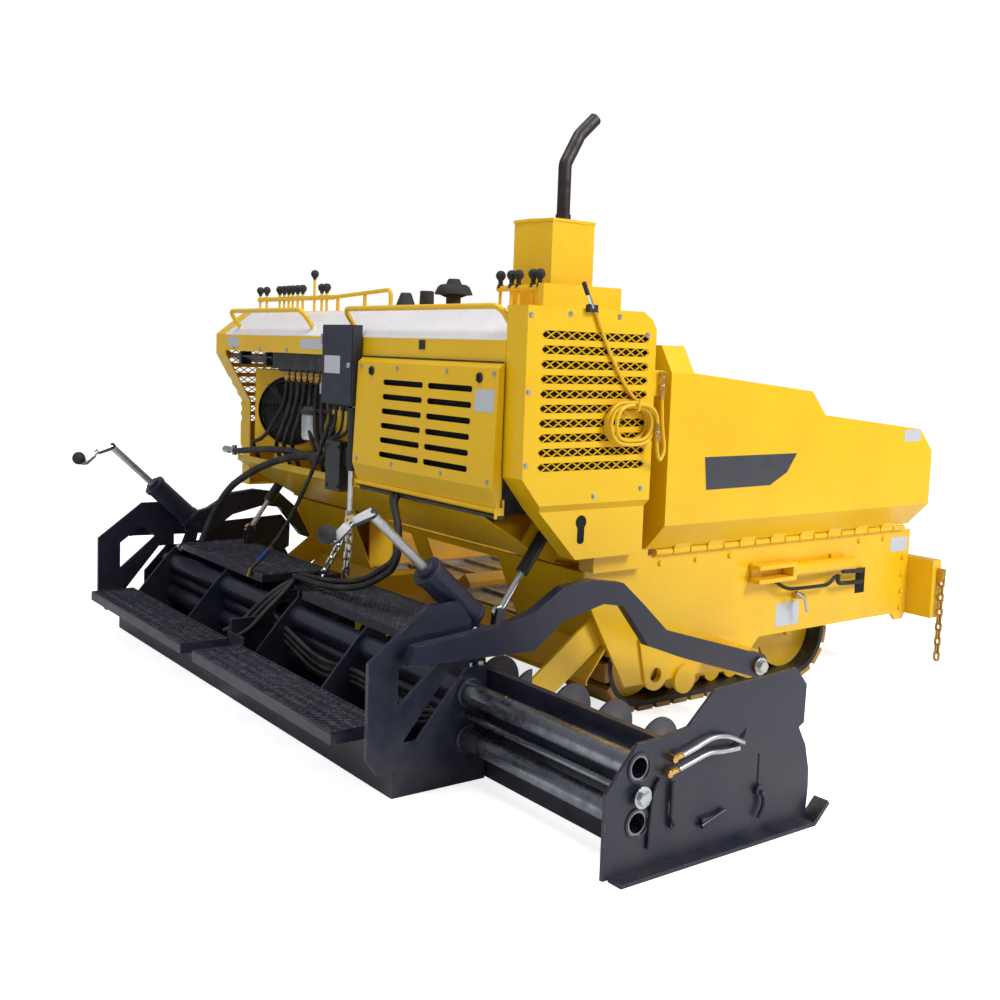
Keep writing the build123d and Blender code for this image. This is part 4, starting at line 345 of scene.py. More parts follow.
@dataclass(frozen=True)
class NearLines(Rule):
    """Near lines that run across the machine, each (y, z, radius) in millimetres."""

    lines: tuple[tuple[float, float, float], ...]

    def mask(self, nodes: Nodes) -> bpy.types.Node:
        """Largest of the lines' masks; each is 1 where the distance in (y, z) is under its radius."""
        masks = []
        for y, z, radius in self.lines:
            line = nodes.add("ShaderNodeCombineXYZ", {1: (y + SHIFT[1]) / 1000.0, 2: z / 1000.0})
            flat = nodes.add(VECTOR, {0: nodes.place, 1: (0.0, 1.0, 1.0)}, operation="MULTIPLY")
            far = nodes.add(VECTOR, {0: flat, 1: line}, operation="DISTANCE").outputs["Value"]
            masks.append(nodes.add(MATH, {0: far, 1: radius / 1000.0}, operation="LESS_THAN"))
        best = masks[0]
        for other in masks[1:]:
            best = nodes.add(MATH, {0: best, 1: other}, operation="MAXIMUM")
        return best


@dataclass(frozen=True)
class HighlightSlope(Rule):
    """Where the painted highlight lies: on the sloped rear sheet of the hood, given by its lower and upper
    edge in (y, z).
    """

    low: tuple[float, float] = (-749.0, 1487.0)
    high: tuple[float, float] = (-600.0, 1603.0)

    def mask(self, nodes: Nodes) -> bpy.types.Node:
        """Points within 3 mm of the slope's plane, between its two edges."""
        run, rise = self.high[0] - self.low[0], self.high[1] - self.low[1]
        long = math.hypot(run, rise)
        normal = (0.0, -rise / long, run / long)
        base = row([0.0, *self.low])
        off = nodes.add(VECTOR, {0: nodes.place, 1: normal}, operation="DOT_PRODUCT").outputs["Value"]
        away = nodes.add(MATH, {0: off, 1: float(np.dot(base, normal))}, operation="SUBTRACT")
        near = nodes.add(MATH, {0: nodes.add(MATH, {0: away}, operation="ABSOLUTE"), 1: 0.003},
                         operation="LESS_THAN")
        below = nodes.add(MATH, {0: nodes.split.outputs[2], 1: self.high[1] / 1000.0 - 0.002},
                          operation="LESS_THAN")
        return nodes.add(MATH, {0: near, 1: below}, operation="MULTIPLY")


@dataclass(frozen=True)
class OutsideBelt(Rule):
    """Outside a track's belt: further than its radius from the line between the axles."""

    rear: float = 125.0
    front: float = 1090.0
    height: float = 210.0
    belt: float = 190.5

    def mask(self, nodes: Nodes) -> bpy.types.Node:
        """Distance in (y, z) from the nearest point of the axle line, compared with the belt's radius."""
        rear, front = (self.rear + SHIFT[1]) / 1000.0, (self.front + SHIFT[1]) / 1000.0
        nearest = nodes.add("ShaderNodeClamp", {0: nodes.split.outputs[1], 1: rear, 2: front})
        line = nodes.add("ShaderNodeCombineXYZ", {1: nearest, 2: self.height / 1000.0})
        flat = nodes.add(VECTOR, {0: nodes.place, 1: (0.0, 1.0, 1.0)}, operation="MULTIPLY")
        far = nodes.add(VECTOR, {0: flat, 1: line}, operation="DISTANCE").outputs["Value"]
        return nodes.add(MATH, {0: far, 1: self.belt / 1000.0}, operation="GREATER_THAN")


# yellow machine enamel: warm, glossy, a touch deeper in soft clouds
YELLOW = Enamel("yellow_machine_enamel", "yellow_paint", "#F9CA08", "#F3BE07", bare="#A98A3C", coat=0.1,
                dusty=0.22)
# the same enamel inside the hopper, scuffed by mix and boots
SCUFFED = Enamel("scuffed_yellow_enamel", "yellow_paint", "#E9AE14", "#C98F10", bare="#6A5F49", dusty=0.5,
                 dust_top=1.2, rough=0.45, coat=0.1)
# dark blue-grey enamel of the screed: satin, reads almost black
NAVY = Enamel("dark_blue_grey_enamel", "navy_paint", "#181B2C", "#202439", bare="#7B7C88", rough=0.38,
              coat=0.1, dusty=0.15, dust_top=0.5)
BLACK = Enamel("black_satin_enamel", "black_paint", "#151517", "#1D1D20", bare="#77736D", rough=0.42,
               dusty=0.3)
CABINET = Enamel("grey_powder_coat", "black_paint", "#2B2D3A", "#323544", bare="#7B7B7B", rough=0.5,
                 coat=0.0, dusty=0.1)
# pale coated sheet of the sloped hatch, raised to near white as a painted highlight where the sky lights the
# slope: near white, satin
PALE_HIGHLIGHT = Enamel("pale_sheet_painted_highlight", "yellow_paint", "#FAF9FB", "#F3F2F5", bare="#ECEAEA", rough=0.3,
              dusty=0.0)
SHOE = Enamel("dusty_shoe_enamel", "track_rubber", "#D9A013", "#A87C1B", bare="#7A6A50", rough=0.55,
              coat=0.0, dusty=0.8, dust_top=0.5)
WORN = Steel("worn_steel_plate", "bare_steel", "#A9A49C", "#5A4E42", rough=0.42, stained=0.7)
CHROME = Steel("hard_chrome_rod", "bare_steel", "#E4E5E7", "#B9B7B2", rough=0.16, stained=0.25)
ZINC = Steel("zinc_plated_steel", "bare_steel", "#C9CBCC", "#97948C", rough=0.34, stained=0.4)
# ground slide tubes: bright where they run in the guides, filmed with oil and dust
SLIDE = Steel("ground_slide_tube", "navy_paint", "#8B8E96", "#4B4C52", rough=0.26, stained=0.6)
LINKS = Steel("yellow_zinc_chain", "bare_steel", "#CFA95A", "#7B6234", rough=0.36)
BRASS = Steel("machined_brass", "bare_steel", "#D9B268", "#9A7A3C", rough=0.28, stained=0.3)
EXHAUST = Steel("heat_stained_steel", "black_paint", "#4C4846", "#2C2624", rough=0.5, stained=0.8)
IRON = Moulded("painted_castings", "engine_iron", "#26282B", "#6F6B64", rough=0.62, dusted=0.4, grain=4.0)
RUBBER = Moulded("black_rubber", "black_plastic", "#17181A", "#6F6B64", rough=0.6, dusted=0.35)
PLASTIC = Moulded("black_plastic", "black_plastic", "#15171B", "#55534F", rough=0.42, dusted=0.12)
# near-black matt sheet and film set behind slots and over openings: painted shade of the dark insides
SHADE_BLACK = Moulded("painted_shade_black", "black_plastic", "#0B0B0C", "#2A2826", rough=0.9, dusted=0.3, grain=6.0)
HOSE = Moulded("yellow_hose_cover", "yellow_hose", "#F0C21C", "#B39A4C", rough=0.42, dusted=0.2)
SLEEVE = Moulded("blue_hose_sleeve", "black_plastic", "#1E3A8C", "#43506E", rough=0.45, dusted=0.2)
LABEL = Moulded("blank_label_film", "black_plastic", "#C9CCD2", "#B4B4B0", rough=0.35, dusted=0.2)
DECAL = Moulded("dark_decal_film", "black_plastic", "#3F4048", "#5B5B58", rough=0.32, dusted=0.2)
EXTENSION = Joined("extension_enamel_and_chrome", NAVY.slot, NAVY.tint, SLIDE.tint, NAVY, SLIDE,
                   NearLines(((-950.0, 310.0, 37.6), (-950.0, 152.0, 37.6), (-950.0, 231.0, 14.6))))
# hood roof: yellow enamel, and near white on its sloped rear sheet: a pale sheet with a painted highlight
ROOF = Joined("hood_enamel_and_painted_highlight", YELLOW.slot, YELLOW.tint, PALE_HIGHLIGHT.tint, YELLOW, PALE_HIGHLIGHT, HighlightSlope())
TRACK = Joined("rubber_belt_and_painted_shoes", SHOE.slot, RUBBER.tint, SHOE.tint, RUBBER, SHOE,
               OutsideBelt())


class Form:
    """Surfaces of one piece, collected in machine millimetres before they become a mesh."""

    def __init__(self) -> None:
        """Start without surfaces."""
        self.points: list[np.ndarray] = []
        self.faces: list[list[int]] = []
        self.count = 0

    def grid(self, points: np.ndarray, around: bool = False, caps: bool = False) -> "Form":
        """Take a surface given on a grid of two parameters.

        Args:
            points: Grid (rows, columns, 3) in millimetres.
            around: The columns close on themselves.
            caps: The first and last row get an end face.

        Returns:
            This form.
        """
        rows, columns = points.shape[:2]
        i, j = np.meshgrid(np.arange(rows - 1), np.arange(columns if around else columns - 1), indexing="ij")
        after = (j + 1) % columns
        here, above = i * columns, (i + 1) * columns
        quads = np.stack([here + j, here + after, above + after, above + j], axis=-1)
        faces = quads.reshape(-1, 4).tolist()
        if caps:
            faces += [list(range(columns))[::-1], list(range((rows - 1) * columns, rows * columns))]
        self.points.append(points.reshape(-1, 3))
        self.faces += [[k + self.count for k in face] for face in faces]
        self.count += rows * columns
        return self

    def prism(self, outline: object, axis: Axis, start: float, end: float) -> "Form":
        """Carry a closed outline straight along one axis.

        Args:
            outline: Points (n, 2) in the two other axes, in the order x, y, z.
            axis: Axis that the outline is carried along.
            start: Place of the first end.
            end: Place of the other end.

        Returns:
            This form.
        """
        flat = np.asarray(outline, float)
        return self.grid(np.stack([np.insert(flat, axis.value, place, axis=1) for place in (start, end)]),
                         around=True, caps=True)

    def block(self, x0: float, x1: float, y0: float, y1: float, z0: float, z1: float) -> "Form":
        """Take a block between three pairs of faces; the piece's bevel rounds its edges."""
        return self.prism([(y0, z0), (y1, z0), (y1, z1), (y0, z1)], Axis.X, x0, x1)

    def lathe(self, profile: object, origin: object, axis: Axis, sides: int = 28) -> "Form":
        """Turn a profile of (radius, height) pairs about an axis through the origin.

        Args:
            profile: Pairs (radius, height along the axis); it starts and ends at radius 0, or else
                is closed into a ring.
            origin: Point on the axis.
            axis: Axis of the turn.
            sides: Faces round the axis.

        Returns:
            This form.
        """
        line = np.asarray(profile, float)
        if line[0, 0] and line[-1, 0]:
            line = np.vstack([line, line[:1]])
        turn = np.linspace(0.0, 2.0 * math.pi, sides, endpoint=False)
        first, second = [k for k in range(3) if k != axis.value]
        points = np.zeros((len(line), sides, 3))
        points[..., first] = line[:, :1] * np.cos(turn)
        points[..., second] = line[:, :1] * np.sin(turn)
        points[..., axis.value] = line[:, 1:]
        return self.grid(points + np.asarray(origin, float), around=True)

    def tube(self, path: object, radius: object, sides: int = 12) -> "Form":
        """Carry a circle along a path.

        Each ring stands square to the path: its first side is the cross product of the heading
        and the axis that the path follows least.

        Args:
            path: Points (n, 3) of the centre line.
            radius: Radius of the tube, or one radius for each point.
            sides: Faces round the tube.

        Returns:
            This form.
        """
        line = np.asarray(path, float)
        heading = np.gradient(line, axis=0)
        heading /= np.linalg.norm(heading, axis=1, keepdims=True)
        across = np.eye(3)[np.abs(heading).max(axis=0).argmin()]
        side = np.cross(heading, across)
        side /= np.linalg.norm(side, axis=1, keepdims=True)
        up = np.cross(side, heading)
        turn = np.linspace(0.0, 2.0 * math.pi, sides, endpoint=False)[:, None]
        ring = np.cos(turn)[None] * side[:, None] + np.sin(turn)[None] * up[:, None]
        reach = np.broadcast_to(np.asarray(radius, float), (len(line),))[:, None, None]
        return self.grid(line[:, None] + reach * ring, around=True, caps=True)

    def bolts(self, places: object, axis: Axis, flats: float, height: float) -> "Form":
        """Take hexagon heads on round washers.

        Args:
            places: Points (n, 3) on the surface that they sit on.
            axis: Axis that the heads point along.
            flats: Width across flats.
            height: Height of head and washer; negative where they point backwards.

        Returns:
            This form.
        """
        half, thin = flats / 2.0, 0.18 * height
        for place in np.asarray(places, float).reshape(-1, 3):
            self.lathe([(0, 0), (half * 1.6, 0), (half * 1.6, thin), (0, thin)], place, axis, 18)
            self.lathe([(0, thin), (half * 1.155, thin), (half * 1.155, height * 0.88), (half, height),
                        (0, height)], place, axis, 6)
        return self

    def piece(self, name: str, finish: Finish, body: Body | None = Body.TRACTOR, bevel: float = 0.0,
              sharp: float = 35.0) -> bpy.types.Object:
        """Make the mesh object and let it ride on its CAD body.

        Args:
            name: Name of the piece.
            finish: Its finish, which also names its material slot.
            body: CAD body that it rides on; None for a hose that rides on no body.
            bevel: Width in millimetres of rounded edges.
            sharp: Edges turned by more degrees than this stay sharp.

        Returns:
            The new object.
        """
        mesh = bpy.data.meshes.new(name)
        mesh.from_pydata(row(np.concatenate(self.points)).tolist(), [], self.faces)
        work = bmesh.new()
        work.from_mesh(mesh)
        bmesh.ops.remove_doubles(work, verts=work.verts, dist=1e-5)
        bmesh.ops.recalc_face_normals(work, faces=work.faces)
        work.to_mesh(mesh)
        work.free()
        mesh.shade_smooth()
        mesh.set_sharp_from_angle(angle=math.radians(sharp))
        made = bpy.data.objects.new(name, mesh)
        bpy.context.scene.collection.objects.link(made)
        mesh.materials.append(finish.material())
        if bevel:
            rounding = made.modifiers.new("rounded_edges", "BEVEL")
            rounding.width, rounding.segments, rounding.limit_method = bevel / 1000.0, 2, "ANGLE"
            rounding.angle_limit = math.radians(40.0)
        if body:
            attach(made, body.value)
        LOG.info("made %s", name)
        return made


def bent(points: object, reach: float = 1e9, steps: int = 7) -> np.ndarray:
    """Round the corners of a run with quadratic curves.

    Args:
        points: Corner points (n, 3).
        reach: Distance from a corner at which its curve starts, at most half of each run.
        steps: Points on each curve.

    Returns:
        Points of the smooth path.
    """
    corner = np.asarray(points, float)
    before, middle, after = corner[:-2], corner[1:-1], corner[2:]
    into, out = before - middle, after - middle
    into_length = np.linalg.norm(into, axis=1, keepdims=True)
    out_length = np.linalg.norm(out, axis=1, keepdims=True)
    near = np.minimum(np.minimum(into_length, out_length) * 0.499, reach)
    start, end = middle + into / into_length * near, middle + out / out_length * near
    t = np.linspace(0.0, 1.0, steps)[None, :, None]
    curve = (1 - t) ** 2 * start[:, None] + 2 * t * (1 - t) * middle[:, None] + t ** 2 * end[:, None]
    return np.concatenate([corner[:1], curve.reshape(-1, 3), corner[-1:]])


@dataclass
class Stage:
    """White floor and surround, soft lamps, and the camera."""

    floor_half: float = 30.0
    yaw: float = 54.615
    pitch: float = 4.943
    roll: float = -1.877
    stand: tuple[float, float, float] = (3.9995, -3.4245, 1.445)
    lens: float = 41.683
    shift: tuple[float, float] = (0.04, -0.05)
    ambient: float = 0.36
    floor_lift: float = 0.75

    def camera(self) -> None:
        """Set the camera: heading from yaw and pitch, turned about it by the roll."""
        yaw, pitch, roll = (math.radians(angle) for angle in (self.yaw, self.pitch, self.roll))
        ahead = np.array([-math.sin(yaw) * math.cos(pitch), math.cos(yaw) * math.cos(pitch),
                          -math.sin(pitch)])
        level = np.array([math.cos(yaw), math.sin(yaw), 0.0])
        right = math.cos(roll) * level - math.sin(roll) * np.cross(level, ahead)
        turned = np.column_stack([right, np.cross(right, ahead), -ahead, self.stand])
        data = bpy.data.cameras.new("camera")
        data.lens, data.sensor_width, data.clip_end = self.lens, 36.0, 100.0
        data.shift_x, data.shift_y = self.shift
        made = bpy.data.objects.new("camera", data)
        bpy.context.scene.collection.objects.link(made)
        made.matrix_world = Matrix([*turned.tolist(), [0.0, 0.0, 0.0, 1.0]])
        bpy.context.scene.camera = made

    def surround(self) -> None:
        """World: plain white to the camera, soft light of the open sky on the object."""
        world = bpy.data.worlds.new("surround")
        world.use_nodes = True
        nodes = Nodes(world.node_tree)
        seen = nodes.add("ShaderNodeLightPath").outputs["Is Camera Ray"]
        soft = nodes.add("ShaderNodeBackground", {0: linear("#F4F7FF"), 1: self.ambient})
        white = nodes.add("ShaderNodeBackground", {0: linear("#FFFFFF"), 1: 1.0})
        both = nodes.add("ShaderNodeMixShader", {0: seen, 1: soft, 2: white})
        nodes.add("ShaderNodeOutputWorld", {0: both})
        bpy.context.scene.world = world
        bpy.context.scene.view_settings.view_transform = "Standard"

    def floor(self) -> None:
        """White matt floor that takes the shadow; to the camera it is lifted to the surround's white."""
        half = self.floor_half
        mesh = bpy.data.meshes.new("floor")
        mesh.from_pydata([(-half, -half, 0), (half, -half, 0), (half, half, 0), (-half, half, 0)], [],
                         [(0, 1, 2, 3)])
        made = bpy.data.objects.new("floor", mesh)
        bpy.context.scene.collection.objects.link(made)
        look = bpy.data.materials.new("white_floor")
        look.use_nodes = True
        nodes = Nodes(look.node_tree)
        seen = nodes.add("ShaderNodeLightPath").outputs["Is Camera Ray"]
        lift = nodes.add(MATH, {0: seen, 1: self.floor_lift}, operation="MULTIPLY")
        shader = nodes.add("ShaderNodeBsdfPrincipled", {
            "Base Color": linear("#FAFAFA"), "Roughness": 0.9, "Emission Color": linear("#FFFFFF"),
            "Emission Strength": lift})
        nodes.add("ShaderNodeOutputMaterial", {0: shader})
        mesh.materials.append(look)

    def lamps(self) -> None:
        """Large key lamp high on the right, a patch of sky above the rear and a weak fill, all soft."""
        for name, place, aim, size, power in (
                ("key", (7.0, 2.6, 6.0), (0.3, 0.2, 0.8), 3.5, 500.0),
                ("sky", (0.3, -2.6, 7.5), (0.0, -0.8, 1.4), 4.0, 240.0),
                ("fill", (1.0, -8.0, 3.0), (0.0, 0.0, 0.9), 5.0, 14.0)):
            data = bpy.data.lights.new(name, "AREA")
            data.shape, data.size, data.energy = "DISK", size, power
            made = bpy.data.objects.new(name, data)
            bpy.context.scene.collection.objects.link(made)
            towards = np.array(aim) - np.array(place)
            towards /= np.linalg.norm(towards)
            side = np.cross(towards, (0.0, 0.0, 1.0))
            side /= np.linalg.norm(side)
            turned = np.column_stack([side, np.cross(side, towards), -towards, place])
            made.matrix_world = Matrix([*turned.tolist(), [0.0, 0.0, 0.0, 1.0]])

    def build(self) -> None:
        """Make camera, surround, floor and lamps."""
        self.camera()
        self.surround()
        self.floor()
        self.lamps()


@dataclass
class WashHose:
    """Wash-down hose: free run from the spray wand to a coil on its hook, then a fixed tail."""

    sheet_x: float = 1283.0
    run_x: float = 1291.3
    radius: float = 7.0
    middle: tuple[float, float] = (-276.6, 1201.0)
    straight: float = 31.5
    turn_radii: tuple[float, float] = (77.0, 61.0)
    layer: float = 14.3
    outlet_z: float = 1178.0

    def coil(self) -> np.ndarray:
        """Control points of the coil, from the outlet back to the run.

        The angle runs clockwise from the top; radius and layer change in steps at places where
        the turns beside them keep still. A point is the centre plus radius times (sine, cosine),
        drawn apart fore and aft by half the straight length.
        """
        angle = np.linspace(1876.0, 55.0, 82)
        radius = np.interp(angle, [270, 360, 810, 900, 1350, 1440, 1710, 1860],
                           [self.turn_radii[k] for k in (0, 1, 1, 0, 0, 1, 1, 0)])
        level = np.interp(angle, [540, 630, 1080, 1170, 1620, 1710], [0, 1, 1, 2, 2, 3])
        turn = np.radians(angle)
        spread = np.clip(np.sin(turn) * 4.0, -1.0, 1.0) * self.straight
        return np.column_stack([self.sheet_x + 8.0 + level * self.layer,
                                self.middle[0] + radius * np.sin(turn) + spread,
                                self.middle[1] + radius * np.cos(turn)])

    def route(self) -> np.ndarray:
        """Control points from the outlet through the coil and up the run to the wand."""
        coil = self.coil()
        outlet = np.array([[coil[0, 0], coil[0, 1] + 1.0, self.outlet_z]])
        run = np.array([(self.run_x, y, z) for y, z in
                        ((-232.0, 1276.0), (-285.0, 1320.0), (-393.9, 1469.3), (-450.9, 1589.5))])
        return np.concatenate([outlet, coil, run])

    def cord(self) -> tuple[bpy.types.Object, np.ndarray]:
        """Make the cord as one open NURBS spline.

        Returns:
            The cord's object and its control points in metres.
        """
        points = row(self.route())
        curve = bpy.data.curves.new("wash_hose_line", "CURVE")
        curve.dimensions, curve.resolution_u = "3D", 6
        curve.bevel_depth, curve.bevel_resolution, curve.use_fill_caps = self.radius / 1000.0, 3, True
        spline = curve.splines.new("NURBS")
        spline.points.add(len(points) - 1)
        spline.points.foreach_set("co", np.column_stack([points, np.ones(len(points))]).ravel())
        spline.order_u = 3
        spline.use_endpoint_u = True
        made = bpy.data.objects.new("wash_hose_line", curve)
        bpy.context.scene.collection.objects.link(made)
        curve.materials.append(HOSE.material())
        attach(made, Body.TRACTOR.value)
        return made, points

    def length(self, points: np.ndarray) -> float:
        """Length of the quadratic spline, from finely spaced points of its pieces.

        Args:
            points: Control points (n, 3) in metres.

        Returns:
            The length in metres.
        """
        middles = (points[1:-2] + points[2:-1]) / 2.0
        starts, ends = np.vstack([points[:1], middles]), np.vstack([middles, points[-1:]])
        t = np.linspace(0.0, 1.0, 12)[None, :, None]
        line = (1 - t) ** 2 * starts[:, None] + 2 * t * (1 - t) * points[1:-1, None] + t ** 2 * ends[:, None]
        return float(np.linalg.norm(np.diff(line.reshape(-1, 3), axis=0), axis=1).sum())

    def fittings(self) -> list[bpy.types.Object]:
        """Outlet elbow with its ferrule, hook, and the wand's collar and ferrule.

        Returns:
            The pieces that belong to the cord.
        """
        top = self.route()[0]
        elbow = Form().block(self.sheet_x - 1, top[0] + 10, top[1] - 11, top[1] + 11, top[2] - 40,
                             top[2] - 20)
        elbow.lathe([(0, -22), (11, -22), (11, -6), (9.5, -5), (9.5, 4), (8.4, 26), (7.4, 27), (0, 27)], top,
                    Axis.Z, 24)
        outlet = elbow.piece("hose_outlet", BRASS, bevel=1.2)
        foot = (self.sheet_x, self.middle[0], 1247.0)
        bar = [np.array(foot) + step for step in ((-2, 0, 0), (62, 0, 0), (66, 0, 43))]
        hook = Form().tube(bent(bar, 12), 5.5)
        hook.lathe([(0, 0), (20, 0), (20, 4), (0, 4)], foot, Axis.X)
        hook.piece("hose_hook", YELLOW)
        wand = Form().tube([(1295.3, -473.0, 1604.0), (1295.3, -478.0, 1614.0), (1295.3, -496.0, 1650.0)],
                           [9.6, 9.2, 8.9], 20)
        chrome = wand.piece("wand_collar", CHROME)
        ferrule = Form().tube([(self.run_x, -448.0, 1583.5), (self.run_x, -451.8, 1591.5),
                               (self.run_x, -458.0, 1603.0)], [7.6, 9.4, 9.8], 20)
        nut = ferrule.piece("wand_ferrule", BRASS)
        return [outlet, chrome, nut]

    def tail(self) -> None:
        """Fixed hose from the outlet's foot round to the union on a bracket at the sheet's edge."""
        top = self.route()[0]
        Form().tube(bent([(top[0], top[1], top[2] - 36), (top[0], top[1] + 4, 1096), (1318, -134, 1058),
                          (1306, -98, 1100), (1300, -112, 1190), (1299, -118, 1296)]), self.radius).piece(
            "hose_tail", HOSE)
        union = Form()
        union.lathe([(0, 0), (8.6, 0), (9.6, 6), (9.6, 26), (11.5, 27), (11.5, 52), (8.5, 54), (8.5, 84),
                     (11.5, 86), (11.5, 104), (0, 104)], (1299, -118, 1286), Axis.Z, 8)
        union.piece("hose_union", BRASS, bevel=0.8)
        bracket = Form().block(1277, 1283.5, -152, -100, 1300, 1394)
        bracket.block(1283, 1300, -124, -112, 1340, 1346)
        bracket.piece("union_bracket", YELLOW, bevel=1.5)

    def build(self, nodes: dict) -> None:
        """Make the hose with everything on it.

        Args:
            nodes: The frame's CAD objects by node name; not used.
        """
        made, points = self.cord()
        pieces = self.fittings()
        self.length(points)
        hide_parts("wash_hose", "hose_coil")
        self.tail()


@dataclass
class CadDress:
    """Finishes of the CAD solids: one for each slot of the record, and a few nodes of their own."""

    def build(self, packed: dict) -> None:
        """Give every CAD object its finish.
        """
        by_slot = {"yellow_paint": YELLOW, "navy_paint": NAVY, "black_paint": BLACK, "bare_steel": WORN,
                   "chrome_rod": CHROME, "engine_iron": IRON, "track_rubber": TRACK, "yellow_hose": HOSE,
                   "black_plastic": PLASTIC}
        own = {"hopper_tub": SCUFFED, "hopper_back": SCUFFED, "hood_roof": ROOF, "control_cabinet": CABINET,
               "extension_right": EXTENSION, "extension_left": EXTENSION, "hanging_chain": LINKS,
               "exhaust_pipe": EXHAUST}
        for part in packed["record"]["subparts"]:
            node = packed["nodes"][part["node"]]
            finish = own.get(part["node"], by_slot[part["material_slot"]])
            node.data.materials.clear()
            node.data.materials.append(finish.material())


def plate(y0: float, y1: float, z0: float, z1: float) -> list[tuple[float, float]]:
    """Outline of an upright rectangle from its limits along two axes."""
    return [(y0, z0), (y1, z0), (y1, z1), (y0, z1)]


def layer(sign: float, face: float, under: float, over: float) -> list[float]:
    """Both sides of a thin layer on a face that looks outwards on one side, in rising order.

    Args:
        sign: 1 for the right side, -1 for the left one.
        face: Distance of the face from the centre plane.
        under: Depth below the face.
        over: Height above the face.

    Returns:
        Two places across the machine.
    """
    return sorted((sign * (face - under), sign * (face + over)))


SIDES = (("right", 1.0), ("left", -1.0))


@dataclass
class SideBoxTrim:
    """Expanded mesh in the slots of the side boxes, a near-black sheet behind it as painted shade, screws
    and a dark film as the painted shade of the latch slot.
    """

    face: float = 1283.0
    middle_y: float = -430.0
    top_row: float = 1506.0
    pitch: float = 50.6
    rows: int = 10
    height: float = 29.0
    length: float = 501.0
    strand: float = 23.4
    strand_depth: float = 3.5
    strand_radius: float = 3.4
    rim: float = 12.0
    rear: float = -749.0
    cut_rear: float = -607.0
    cut_heights: tuple[float, float] = (1145.0, 1388.0)
    screws: tuple = ((-190, 1520), (-190, 1250), (-190, 960), (-420, 941), (-560, 1580), (-330, 1580))
    rear_screws_right: tuple = ((-733, 1570), (-733, 1310), (-733, 1060))
    rear_screws_left: tuple = ((-735, 1480), (-735, 1400), (-590, 950))
    lower_face: float = 1256.0
    latch: tuple[float, float] = (-450.0, 846.0)
    latch_radius: float = 25.0
    latch_foot: tuple = ((-466.3, 776.0), (-458.0, 768.0), (-442.0, 768.0), (-433.7, 776.0))

    def rear_edge(self, sign: float, height: float) -> float:
        """Rear end of the sheet at a height: upright on the right, cut back low down on the left."""
        if sign > 0:
            return self.rear
        return float(np.interp(height, self.cut_heights, (self.cut_rear, self.rear)))

    def mesh(self, sign: float) -> Form:
        """Zigzag strands, two in each slot: height follows a triangle wave of the place along the slot."""
        form = Form()
        count = int(self.length / self.strand) + 1
        along = self.middle_y + (np.arange(count + 1) - count / 2.0) * self.strand
        wave = np.where(np.arange(count + 1) % 2, 1.0, -1.0) * self.height / 4.0
        across = np.full(count + 1, sign * (self.face - self.strand_depth))
        for level in range(self.rows):
            centre = self.top_row - level * self.pitch
            inside = along > self.rear_edge(sign, centre) + self.rim
            for half in (1.0, -1.0):
                path = np.column_stack([across, along, centre + half * (self.height / 4.0 + wave)])
                form.tube(path[inside], self.strand_radius, 4)
        return form

    def latch_slot_shade(self) -> None:
        """Painted shade of the keyhole: a dark film, an arc round the latch, closed by the foot below it."""
        turn = np.linspace(-0.86, math.pi + 0.86, 25)
        hole = np.array(self.latch) + self.latch_radius * np.column_stack([np.cos(turn), np.sin(turn)])
        Form().prism([*hole.tolist(), *self.latch_foot], Axis.X, self.lower_face,
                     self.lower_face + 1.7).piece("latch_slot_shade", SHADE_BLACK)

    def build(self) -> None:
        """Dress the right and the left side box."""
        for side, sign in SIDES:
            self.mesh(sign).piece(f"box_mesh_{side}", YELLOW, sharp=20.0)
            rear = self.rear_screws_right if sign > 0 else self.rear_screws_left
            heads = [(sign * self.face, y, z) for y, z in (*rear, *self.screws)]
            Form().bolts(heads, Axis.X, 13.0, sign * 6.0).piece(f"box_screws_{side}", ZINC)
        # near-black sheet behind the slots: painted shade of the box's inside
        shade_sheet = Form().block(self.face - 30.0, self.face - 18.0, -700, -168, 1022, 1535)
        shade_sheet.piece("box_painted_shade", SHADE_BLACK, bevel=2.0)
        self.latch_slot_shade()


